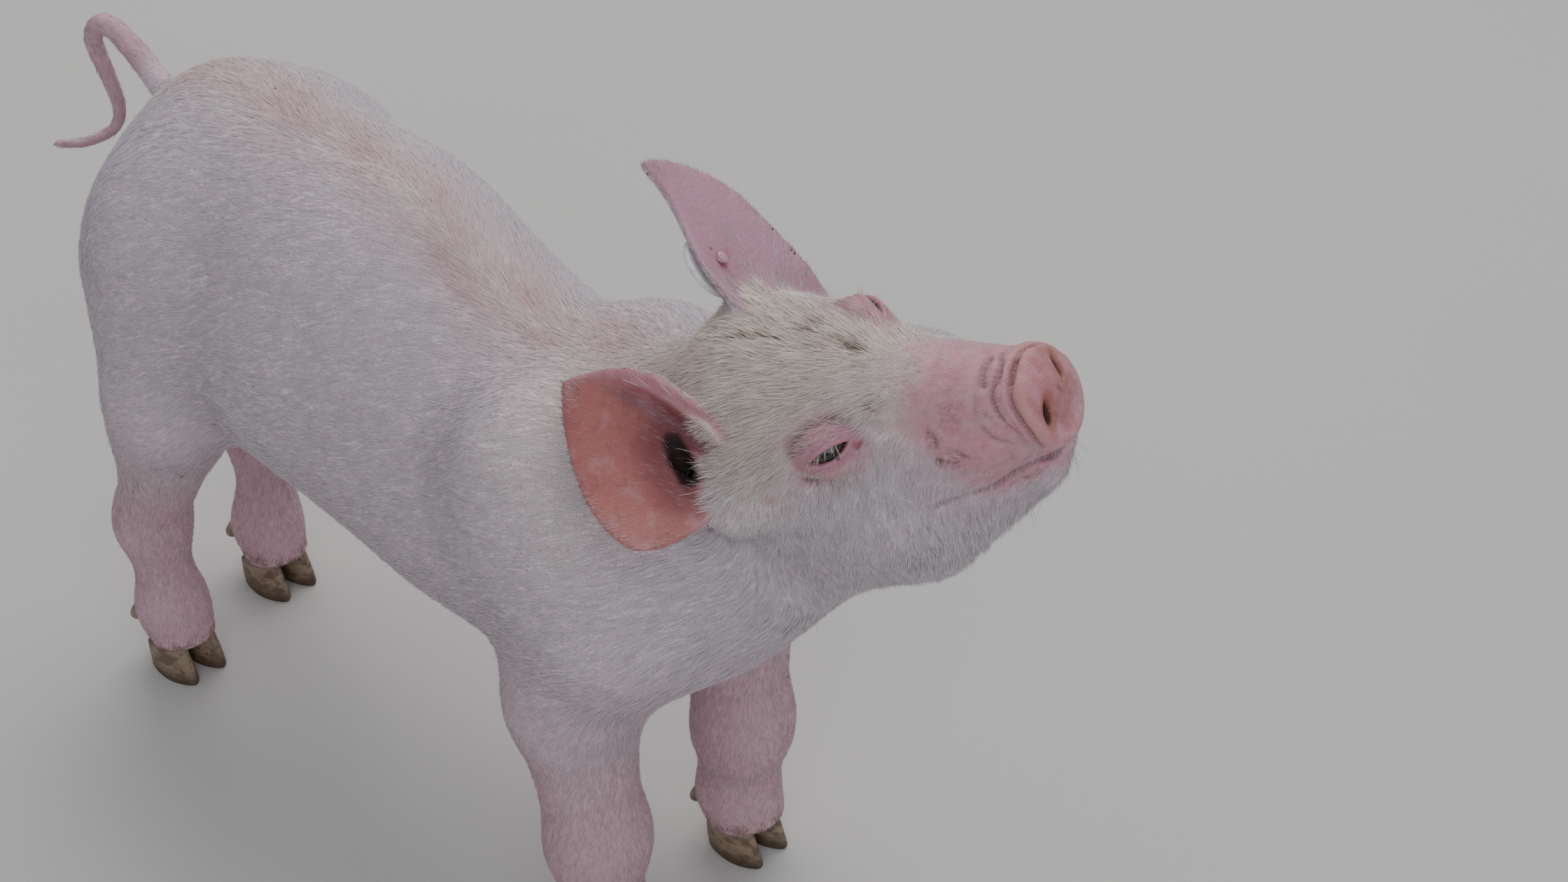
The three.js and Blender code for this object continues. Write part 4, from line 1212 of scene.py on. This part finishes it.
def turnShare(across, up):  # the share of a whole turn, 0 to 1
    return np.arctan2(across, up) / (2 * math.pi) + 0.5


flatMap = {"axis": 225, "rear": -280, "long": 560, "legTop": 200, "nape": -190, "headLong": 210}
legAxes = {"front": 97, "hind": -190, "side": 45}


def unwrap(p, h, onFace, leg):  # the skin's own shape laid flat: around it and along it
    x, y, up = p.T
    if leg:
        middle = np.where(x > 0, legAxes["front"], legAxes["hind"])
        turn = turnShare(y - np.sign(y) * legAxes["side"], x - middle)
        return np.stack([turn * 0.48 + (y > 0) * 0.5 + 0.01, up / flatMap["legTop"]], 1)
    body = np.stack([turnShare(y, up - flatMap["axis"]), (x - flatMap["rear"]) / flatMap["long"]], 1)
    face = np.stack([turnShare(h[:, 1], h[:, 2]), (h[:, 0] - flatMap["nape"]) / flatMap["headLong"]], 1)
    return mix(body, face, onFace[:, None])


def giveMap(piece, tris, spot):  # where each point lies on the flat map
    layer = piece.data.uv_layers.new(name="OFBake")
    layer.data.foreach_set("uv", spot[tris.ravel()].astype(np.float32).ravel())


def tuftMarks(face, share):  # the markings carried to the tufts
    marks = {name: spread(skinMarks[name], face, share) for name in ("pink", "cream", "dirtAndShade")}
    # tufts in mud and tufts in the painted shade under the mouth turn dark at random
    darkened = marks["dirtAndShade"] * rng.random(len(face)) > 0.2
    marks["dark"] = np.where(darkened, rng.uniform(0.5, 1, len(face)), 0.0)
    marks["dirtAndShade"] = marks["dirtAndShade"] * 0.5
    thin = skinZones["around"] + skinZones["upperLid"] + skinZones["bare"] + skinZones["fringe"]
    marks["pink"] = marks["pink"] * (1 - 0.45 * spread(np.clip(thin, 0, 1), face, share))
    return marks


def tuftTones(t, inner):  # lighter and darker tufts, with a few brown ones on the head
    root, faceShare, count = t["root"], t["face"], len(t["root"])
    drift = (0.05 + 0.16 * faceShare) * wander(root, 5, 12) + 0.16 * faceShare * wander(root, 1.6, 14)
    drift = drift + 0.07 * faceShare
    t["tuft"] = np.clip(0.5 + drift + rng.normal(0, 0.2, count) * (1 + 0.8 * faceShare), 0, 1)
    brown = (faceShare > 0.5) & (inner < 0.3) & (rng.random(count) < 0.13)
    t["dark"] = np.where(brown, np.maximum(t["dark"], rng.uniform(0.2, 0.5, count)), t["dark"])


def tuftPieces():
    style = coatStyle(skinZones, skinHead)
    style[:, 0] *= 1 - 0.9 * skinMarks["nick"]
    way = lieOf(skinVerts, skinNormals, skinZones, skinHead)
    face, share = rootsOn(style)
    root = spread(skinVerts, face, share)
    normal = unit(spread(skinNormals, face, share))
    lie = spread(way, face, share)
    look = spread(style, face, share)
    marks = tuftMarks(face, share)
    inner = spread(np.clip(skinZones["inner"] + skinZones["bare"], 0, 1), face, share)
    faceShare = spread(skinZones["face"], face, share)
    count = len(root)
    angle = np.radians(7 * wander(root, 14, 3) + 4 * wander(root, 4, 5) + rng.normal(0, 6, count))
    across = np.cross(normal, lie)
    lie = lie * np.cos(angle)[:, None] + across * np.sin(angle)[:, None]
    lie = unit(alongSkin(lie, normal))
    across = np.cross(normal, lie)
    long = look[:, 1] * rng.uniform(0.7, 1.25, count)
    wide = look[:, 2] * rng.uniform(0.75, 1.2, count)
    drift = (0.1 + 0.25 * faceShare) * wander(root, 7, 8)
    rise = np.radians(look[:, 3] * (1 + drift) * rng.uniform(0.5, 1.5, count))
    tip = root + lie * (long * np.cos(rise))[:, None] + normal * (long * np.sin(rise))[:, None]
    high = skinField(tip.astype(np.float32))
    want = np.clip(long * np.sin(rise), 0.2, 6)
    tip += normal * np.clip(want - high, -1.5, 2.5)[:, None]
    bent = rng.random(count) < np.where((look[:, 1] > 6.2) & (faceShare > 0.3), 0.3, 0.05)
    print("tufts:", count, "bent:", int(bent.sum()), flush=True)
    tufts = {"root": root, "normal": normal, "lie": lie, "across": across, "long": long, "wide": wide,
             "tip": tip, "bent": bent, "head": into(head, root), "face": faceShare, **marks}
    tuftTones(tufts, inner)
    return tufts


def buildCoat(name, t, leg):
    n, m = len(t["root"]), int(t["bent"].sum())
    half = (t["across"].T * t["wide"] / 2).T
    lift = (t["normal"].T * t["wide"] * 0.5).T
    seat = t["root"] - t["normal"] * 0.12
    plain, bent = ~t["bent"], t["bent"]
    k = np.arange(n - m) * 4
    verts = [np.stack([(seat - half)[plain], (seat + half)[plain], (seat + lift)[plain], t["tip"][plain]],
                      1).reshape(-1, 3)]
    tris = [np.stack([k + a, k + b, k + c], 1) for a, b, c in ((0, 2, 3), (2, 1, 3), (1, 0, 3), (0, 1, 2))]
    along = [np.tile([0.0, 0, 0, 1], n - m)]
    patch = [np.tile([(-1, -1), (1, -1), (0, -0.6), (0, 1)], (n - m, 1))]
    middle = (seat + t["tip"]) / 2 + t["normal"] * (0.09 * t["long"])[:, None]
    ring = [seat - half, seat + half, seat + lift, middle - half * 0.85, middle + half * 0.85,
            middle + lift * 0.8, t["tip"]]
    k = np.arange(m) * 7 + (n - m) * 4
    verts.append(np.stack([v[bent] for v in ring], 1).reshape(-1, 3))
    tris += [np.stack([k + a, k + b, k + c], 1) for a, b, c in (
        (0, 2, 5), (0, 5, 3), (2, 1, 4), (2, 4, 5), (1, 0, 3), (1, 3, 4), (3, 5, 6), (5, 4, 6), (4, 3, 6),
        (0, 1, 2))]
    along.append(np.tile([0.0, 0, 0, 0.5, 0.5, 0.5, 1], m))
    patch.append(np.tile([(-1, -1), (1, -1), (0, -0.6), (-1, 0), (1, 0), (0, 0.2), (0, 1)], (m, 1)))
    verts, tris, patch = np.vstack(verts), np.vstack(tris)[:, ::-1], np.vstack(patch)
    owner = np.r_[np.repeat(np.nonzero(plain)[0], 4), np.repeat(np.nonzero(bent)[0], 7)]
    piece = meshObject(name, verts, tris, coatMaterial)
    lean = patch[:, :1] * t["across"][owner] * 0.45 + np.maximum(patch[:, 1:], 0) * t["lie"][owner] * 0.2
    piece.data.normals_split_custom_set_from_vertices(unit(t["normal"][owner] + lean).astype(np.float32))
    giveValue(piece, "along", np.concatenate(along))
    for label in ("pink", "cream", "dirtAndShade", "dark", "tuft"):
        giveValue(piece, label, t[label][owner])
    flat = unwrap(t["root"], t["head"], t["face"] > 0.5, leg)
    giveMap(piece, tris, 0.01 + 0.98 * flat[owner] + patch * 0.0015)
    return len(tris)


def growCoat():
    t = tuftPieces()
    x, y, up = t["root"].T
    onHead = (t["face"] > 0.5) & (x > 70)
    legged = (up < 150) & ~onHead
    rest = ~onHead & ~legged
    h = t["head"]
    parts = {
        "coat_head_right": onHead & (h[:, 1] < 0) & (h[:, 0] > -122),
        "coat_head_left": onHead & (h[:, 1] >= 0) & (h[:, 0] > -122),
        "coat_nape": onHead & (h[:, 0] <= -122),
        "coat_front_legs": legged & (x > 0),
        "coat_hind_legs": legged & (x <= 0),
    }
    for name, here in (("shoulder", x > 40), ("side", (x <= 40) & (x > -80)), ("rump", x <= -80)):
        parts[f"coat_{name}_right"] = rest & here & (y < 0)
        parts[f"coat_{name}_left"] = rest & here & (y >= 0)
    total = 0
    for name, mask in parts.items():
        if mask.any():
            made = buildCoat(name, {k: v[mask] for k, v in t.items()}, "legs" in name)
            total += made
            print(name, made, "triangles", flush=True)
    print("coat:", total, "triangles", flush=True)


growCoat()


# Longer hairs that stand out from the coat: how many, how long and wide, and how they stand and bend.
strands = {
    "chin_whiskers": {"many": 70, "long": (8, 17), "wide": 0.2, "rise": 0.9, "bend": -0.35, "dark": 0.05},
    "cheek_hairs": {"many": 420, "long": (6, 10), "wide": 0.2, "rise": 0.42, "bend": -0.3, "dark": 0.04},
    "forehead_hairs": {"many": 620, "long": (7, 12), "wide": 0.2, "rise": 0.4, "bend": -0.32, "dark": 0.16},
    "ear_hairs": {"many": 380, "long": (3, 6.5), "wide": 0.09, "rise": 0.25, "bend": 0.1, "dark": 0.0},
    "muzzle_hairs": {"many": 420, "long": (2.5, 5), "wide": 0.12, "rise": 0.7, "bend": -0.2, "dark": 0.0},
    "back_hairs": {"many": 900, "long": (7, 11), "wide": 0.24, "rise": 0.26, "bend": -0.2, "dark": 0.0},
}


def strandPiece(name, root, start, finish, long, wide, marks):  # tapered three-sided hairs that bend
    steps = 5
    t = np.linspace(0, 1, steps)[None, :, None]
    way = unit(start[:, None] * (1 - t) + finish[:, None] * t)
    pace = long[:, None, None] / (steps - 1)
    line = root[:, None] + np.concatenate([np.zeros((len(root), 1, 3)), np.cumsum(way[:, :-1] * pace, 1)], 1)
    side = unit(np.cross(start, finish + (0.013, 0.029, 0.017)))[:, None]
    lift = unit(np.cross(side, way))
    radius = (wide[:, None] / 2 * np.array([1, 0.95, 0.8, 0.55])[None])[..., None]
    rings = np.stack([line[:, :-1] + radius * (side * math.cos(a) + lift[:, :-1] * math.sin(a))
                      for a in (0.5, 2.6, 4.7)], 2).reshape(len(root), -1, 3)
    verts = np.concatenate([rings, line[:, -1:]], 1)
    faces = [(2, 1, 0)]
    for k in range(0, 9, 3):
        for a, b in ((0, 1), (1, 2), (2, 0)):
            faces += [(k + a, k + b, k + b + 3), (k + a, k + b + 3, k + a + 3)]
    faces += [(9, 10, 12), (10, 11, 12), (11, 9, 12)]
    size = verts.shape[1]
    tris = (np.array(faces)[None] + np.arange(len(root))[:, None, None] * size).reshape(-1, 3)
    first = verts[0] - verts[0].mean(0)
    shape = first[np.array(faces)]
    if np.einsum("ij,ij->", shape[:, 0], np.cross(shape[:, 1], shape[:, 2])) < 0:
        tris = tris[:, ::-1]
    piece = meshObject(name, verts.reshape(-1, 3), tris, coatMaterial)
    giveValue(piece, "along", np.tile(np.repeat([0.2, 0.5, 0.8, 1, 1], [3, 3, 3, 3, 1]), len(root)))
    for label, amount in marks.items():
        giveValue(piece, label, np.repeat(amount, size))
    flat = unwrap(root, into(head, root), root[:, 0] > 110, False)
    patch = np.tile(rng.uniform(-1, 1, (size, 2)), (len(root), 1))
    giveMap(piece, tris, 0.01 + 0.98 * np.repeat(flat, size, 0) + 0.0015 * patch)
    print(name, len(tris), "triangles", flush=True)


def growStrands():
    z, h = skinZones, skinHead
    bareSide = z["bare"] * (1 - z["disc"]) * (1 - z["nostril"])
    furred = z["face"] * (1 - z["ear"]) * (1 - z["bare"])
    where = {
        "chin_whiskers": z["jaw"] * ease(-62, -30, h[:, 0]) + 0.25 * z["bare"] * ease(-8, -20, h[:, 2]),
        "cheek_hairs": furred * ease(8, -8, h[:, 2]) * ease(-150, -120, h[:, 0]),
        "forehead_hairs": furred * ease(8, 28, h[:, 2]) * (1 - z["lid"]),
        "ear_hairs": z["inner"] * (0.06 + z["earRim"] + 0.5 * z["fringe"]) + 0.5 * z["canal"],
        "muzzle_hairs": bareSide * (0.3 + 0.7 * ease(-4, -16, h[:, 2])) + 0.5 * z["disc"] * (1 - z["dish"]),
        "back_hairs": (1 - z["face"]) * (1 - z["ear"]) * ease(120, 160, skinVerts[:, 2]),
    }
    way = lieOf(skinVerts, skinNormals, skinZones, skinHead)
    area = skinAreas()
    for name, look in strands.items():
        chance = area * np.clip(where[name], 0, 1)[skinTris].mean(1)
        face = rng.choice(len(skinTris), look["many"], p=chance / chance.sum())
        share = rng.dirichlet((1, 1, 1), look["many"])
        normal = unit(spread(skinNormals, face, share))
        root = spread(skinVerts, face, share) - normal * 0.2
        lie = unit(spread(way, face, share) + rng.normal(0, 0.16, (look["many"], 3)))
        rise = look["rise"] * rng.uniform(0.6, 1.4, (look["many"], 1))
        start = unit(lie + normal * rise)
        finish = unit(lie + normal * (rise + look["bend"]) + (0, 0, -0.12))
        marks = {label: spread(skinMarks[label], face, share) for label in ("pink", "cream", "dirtAndShade")}
        marks["pink"] = marks["pink"] * (1 if name == "ear_hairs" else 0.4)
        marks["tuft"] = rng.uniform(0.5, 1, look["many"])
        # hairs in mud and hairs in the painted shade under the mouth turn dark, as do a few brown ones
        darkened = marks["dirtAndShade"] > 0.3
        darkHairs = rng.random(look["many"]) < look["dark"] + 0.5 * darkened
        marks["dark"] = darkHairs * rng.uniform(0.4, 0.9, look["many"])
        marks["dirtAndShade"] = marks["dirtAndShade"] * 0.4
        strandPiece(name, root, start, finish, rng.uniform(*look["long"], look["many"]),
                    look["wide"] * rng.uniform(0.75, 1.2, look["many"]), marks)


lashes = {"many": 15, "long": (4.5, 7.5), "wide": 0.15}


def growLashes(side, place):
    count = lashes["many"]
    u = np.linspace(-0.95, 0.6, count) * eye["halfLength"] + rng.normal(0, 0.5, count)
    v = 0.5 + lidGap(u) + rng.uniform(0, 0.5, count)
    reach = eye["radius"] + eye["lid"] - 0.3
    w = np.sqrt(np.maximum(reach ** 2 - u * u - v * v, 1))
    root = outOf(head, outOf(place, np.stack([u, v, w], 1)))
    axes = place["axes"] @ head["axes"]
    out, up, along = axes[2], axes[1], axes[0]
    fan = (u / eye["halfLength"] * 0.5 - 0.25)[:, None] * along + rng.normal(0, 0.08, (count, 3))
    start = unit(out * 1.0 - up * 0.25 + fan)
    finish = unit(out * 0.55 - up * 1.05 + fan * 1.2)
    long = rng.uniform(*lashes["long"], count)
    marks = {"pink": np.zeros(count), "cream": np.full(count, 0.7), "dirtAndShade": np.zeros(count),
             "tuft": rng.uniform(0.5, 0.9, count), "dark": 0.8 * (rng.random(count) < 0.2)}
    strandPiece("lashes_" + side, root, start, finish, long, np.full(count, lashes["wide"]), marks)


growStrands()
for side, place in eyes.items():
    growLashes(side, place)


# The eyes.
def ringsToTris(rows, columns):
    i, j = np.meshgrid(np.arange(rows - 1), np.arange(columns), indexing="ij")
    a = (i * columns + j).ravel()
    b = (i * columns + (j + 1) % columns).ravel()
    return np.vstack([np.stack([a, b, b + columns], 1), np.stack([a, b + columns, a + columns], 1)])


def lastRingsClosed(verts, rows, columns):  # a point in the middle of the first ring and of the last
    low, high = len(verts), len(verts) + 1
    ring = np.arange(columns)
    nextOne = (ring + 1) % columns
    top = (rows - 1) * columns
    tris = [ringsToTris(rows, columns), np.stack([nextOne, ring, np.full(columns, low)], 1),
            np.stack([top + ring, top + nextOne, np.full(columns, high)], 1)]
    return np.vstack([verts, verts[:columns].mean(0), verts[top:].mean(0)]), np.vstack(tris)


def outwards(verts, tris):
    a, b, c = (verts[tris[:, k]] - verts.mean(0) for k in range(3))
    return tris if np.einsum("ij,ij->", a, np.cross(b, c)) > 0 else tris[:, ::-1]


ball = {"rows": 41, "columns": 64, "clear": 0.15, "bulge": 0.035, "bulgeWide": 0.55}


def eyeball(side, place):  # a ball that swells a little over the pupil
    rows, columns = ball["rows"], ball["columns"]
    polar = np.linspace(0.02, math.pi - 0.02, rows)[:, None]
    turn = np.linspace(0, 2 * math.pi, columns, endpoint=False)[None]
    bulge = 1 + ball["bulge"] * np.exp(-(polar / ball["bulgeWide"]) ** 2)
    r = (eye["radius"] - ball["clear"]) * bulge / 1.02
    local = np.stack([r * np.sin(polar) * np.cos(turn), r * np.sin(polar) * np.sin(turn),
                      r * np.cos(polar) * np.ones_like(turn)], -1).reshape(-1, 3)
    local, tris = lastRingsClosed(local, rows, columns)
    verts = outOf(head, outOf(place, local))
    piece = meshObject("eyeball_" + side, verts, outwards(verts, tris), eyeMaterial)
    giveValue(piece, "fromPupil", lengthOf(local[:, :2]) * np.sign(local[:, 2] + 0.01))
    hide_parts("eye_" + side)


for side, place in eyes.items():
    eyeball(side, place)
print("eyes made", flush=True)

# Claws and dewclaws.
claw = {"length": 31, "width": 14.5, "apart": 8.6, "turns": 40, "steps": 16}
dewclaw = {"length": 15, "radius": 4.4, "apart": 8.5, "turns": 20, "steps": 14}


def clawMesh(leg, side):
    rise = np.r_[0, 0.02, np.linspace(0.06, 1, claw["steps"] - 2)][:, None]
    turn = np.linspace(0, 2 * math.pi, claw["turns"], endpoint=False)[None]
    soft = 1 - 0.05 * np.clip(1 - rise / 0.06, 0, 1)  # the sole's edge is worn round
    ridge = 1 + 0.006 * np.sin(rise * 38)
    x = claw["length"] / 2 * np.cos(turn) * (1 - 0.2 * rise ** 2) * soft * ridge - 5 * rise
    y = (claw["width"] / 2 * np.sin(turn) * (1 - 0.28 * np.maximum(np.cos(turn), 0) ** 2) * (1 - 0.1 * rise)
         * soft * ridge)
    z = rise * (coronet["front"] + coronet["slope"] * (x - coronet["reach"]) - 0.15)
    verts = np.stack([x + leg["foot"][0], y + leg["foot"][1] + side * claw["apart"], z], -1).reshape(-1, 3)
    return lastRingsClosed(verts, len(rise), claw["turns"])


def dewclawMesh(leg, side):
    root = np.array(leg["fetlock"]) + (-10, side * dewclaw["apart"], -1)
    along = unit((-0.62, 0.12 * side, -0.78))
    across = unit(np.cross(along, (0, 1, 0)))
    other = np.cross(along, across)
    t = np.linspace(0, 1, dewclaw["steps"])[:, None, None]
    turn = np.linspace(0, 2 * math.pi, dewclaw["turns"], endpoint=False)[None, :, None]
    radius = dewclaw["radius"] * np.sqrt(1.02 - t ** 3)
    verts = root + along * t * dewclaw["length"] + radius * (np.cos(turn) * across + np.sin(turn) * other)
    return lastRingsClosed(verts.reshape(-1, 3), dewclaw["steps"], dewclaw["turns"])


for name, leg in legs.items():
    for which, outer in (("outer", 1), ("inner", -1)):
        side = outer * math.copysign(1, leg["foot"][1])
        for kind, maker in (("claw", clawMesh), ("dewclaw", dewclawMesh)):
            verts, tris = maker(leg, side)
            piece = meshObject(f"{name}_{kind}_{which}_horn", verts, outwards(verts, tris), clawMaterial)
            giveValue(piece, "fromSole", verts[:, 2])
            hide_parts(f"{name}_{kind}_{which}")
print("claws made", flush=True)

# The ear tag: a blank round button and its stud.
tag = {"radius": 13.5, "thick": 2.4, "front": -3.0, "pin": 1.8, "stud": 2.8, "turns": 64}
leftEar = ears["left"]["frame"]
tagUp = leftEar["axes"][2] - 0.15 * leftEar["axes"][1]
tagFrame = makeFrame(outOf(leftEar, (24, 2, 0)), leftEar["axes"][0], tagUp)


def turnedPiece(name, profile, node):  # a turned shape from (radius, height) pairs round the tag's own Z
    turn = np.linspace(0, 2 * math.pi, tag["turns"], endpoint=False)
    rings = [np.stack([r * np.cos(turn), r * np.sin(turn), np.full(tag["turns"], z)], 1) for r, z in profile]
    verts, tris = lastRingsClosed(outOf(tagFrame, np.vstack(rings)), len(profile), tag["turns"])
    piece = meshObject(name, verts, outwards(verts, tris), tagMaterial)
    giveValue(piece, "tinted", np.full(len(verts), float(node == "ear_tag_stud")))
    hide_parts(node)


face, back, wide = tag["front"], tag["front"] - tag["thick"], tag["radius"]
turnedPiece("ear_tag_button", [
    (3.6, back - 0.6), (4.2, back - 0.5), (4.4, back), (wide - 1.9, back), (wide - 1.3, back - 0.35),
    (wide - 0.6, back - 0.3), (wide - 0.1, back + 0.2), (wide, back + 1), (wide - 0.1, face - 0.4),
    (wide - 0.5, face - 0.1), (wide - 1.1, face), (5, face), (3.2, face + 0.5), (tag["pin"], face + 1.2),
    (tag["pin"], 1), (tag["pin"], 3.2), (1.4, 3.4)], "ear_tag")
wide = tag["stud"]
turnedPiece("ear_tag_cap", [
    (wide - 0.8, 2.6), (wide - 0.1, 2.7), (wide, 3), (wide - 0.1, 3.5), (wide - 0.5, 3.8), (wide / 2, 4),
    (0.4, 4)], "ear_tag_stud")
print("ear tag made", flush=True)

# Camera, floor and light.
view = {"azimuth": 40.2, "elevation": 37.5, "roll": 1.3, "lens": 70, "place": (0.7595, -0.7138, 1.0067)}
lights = {
    "key": {"place": (-0.6, 0.9, 2.2), "aim": (0, 0, 0.2), "size": 1.8, "power": 35, "tint": (1, 0.98, 0.96)},
    "fill": {"place": (1.6, -1.4, 1.5), "aim": (0.05, 0, 0.2), "size": 2.0, "power": 20,
             "tint": (0.92, 0.95, 1)},
}
studio = {"tint": (0.8, 0.83, 0.88, 1), "strength": 0.45, "floor": 6, "floorDrop": 0.0002}


def addCamera():
    a, e, r = (math.radians(view[k]) for k in ("azimuth", "elevation", "roll"))
    level = Vector((-math.sin(a), math.cos(a), 0))
    right = Vector((math.cos(a), math.sin(a), 0))
    forward = math.cos(e) * level - Vector((0, 0, math.sin(e)))
    up = math.sin(e) * level + Vector((0, 0, math.cos(e)))
    right, up = math.cos(r) * right + math.sin(r) * up, math.cos(r) * up - math.sin(r) * right
    data = bpy.data.cameras.new("camera")
    data.lens = view["lens"]
    data.sensor_width = 36
    data.clip_start = 0.01
    camera = bpy.data.objects.new("camera", data)
    spin = Matrix((right, up, -forward)).transposed().to_4x4()
    camera.matrix_world = Matrix.Translation(view["place"]) @ spin
    bpy.context.scene.collection.objects.link(camera)
    bpy.context.scene.camera = camera


def addFloor():
    mesh = bpy.data.meshes.new("floor")
    half = studio["floor"]
    corners = [(-half, -half, 0), (half, -half, 0), (half, half, 0), (-half, half, 0)]
    mesh.from_pydata(corners, [], [(0, 1, 2, 3)])
    floor = bpy.data.objects.new("floor", mesh)
    floor.location.z = -studio["floorDrop"]
    bpy.context.scene.collection.objects.link(floor)
    mesh.materials.append(makeFloorMaterial())


def addLight(name, light):
    data = bpy.data.lights.new(name, "AREA")
    data.size = light["size"]
    data.energy = light["power"]
    data.color = light["tint"]
    lamp = bpy.data.objects.new(name, data)
    lamp.location = light["place"]
    aim = Vector(light["aim"]) - Vector(light["place"])
    lamp.rotation_euler = aim.to_track_quat("-Z", "Y").to_euler()
    bpy.context.scene.collection.objects.link(lamp)


addCamera()
addFloor()
for name, light in lights.items():
    addLight(name, light)
world = bpy.data.worlds.new("studio")
bpy.context.scene.world = world
world.use_nodes = True
world.node_tree.nodes["Background"].inputs["Color"].default_value = studio["tint"]
world.node_tree.nodes["Background"].inputs["Strength"].default_value = studio["strength"]

bpy.context.view_layer.update()
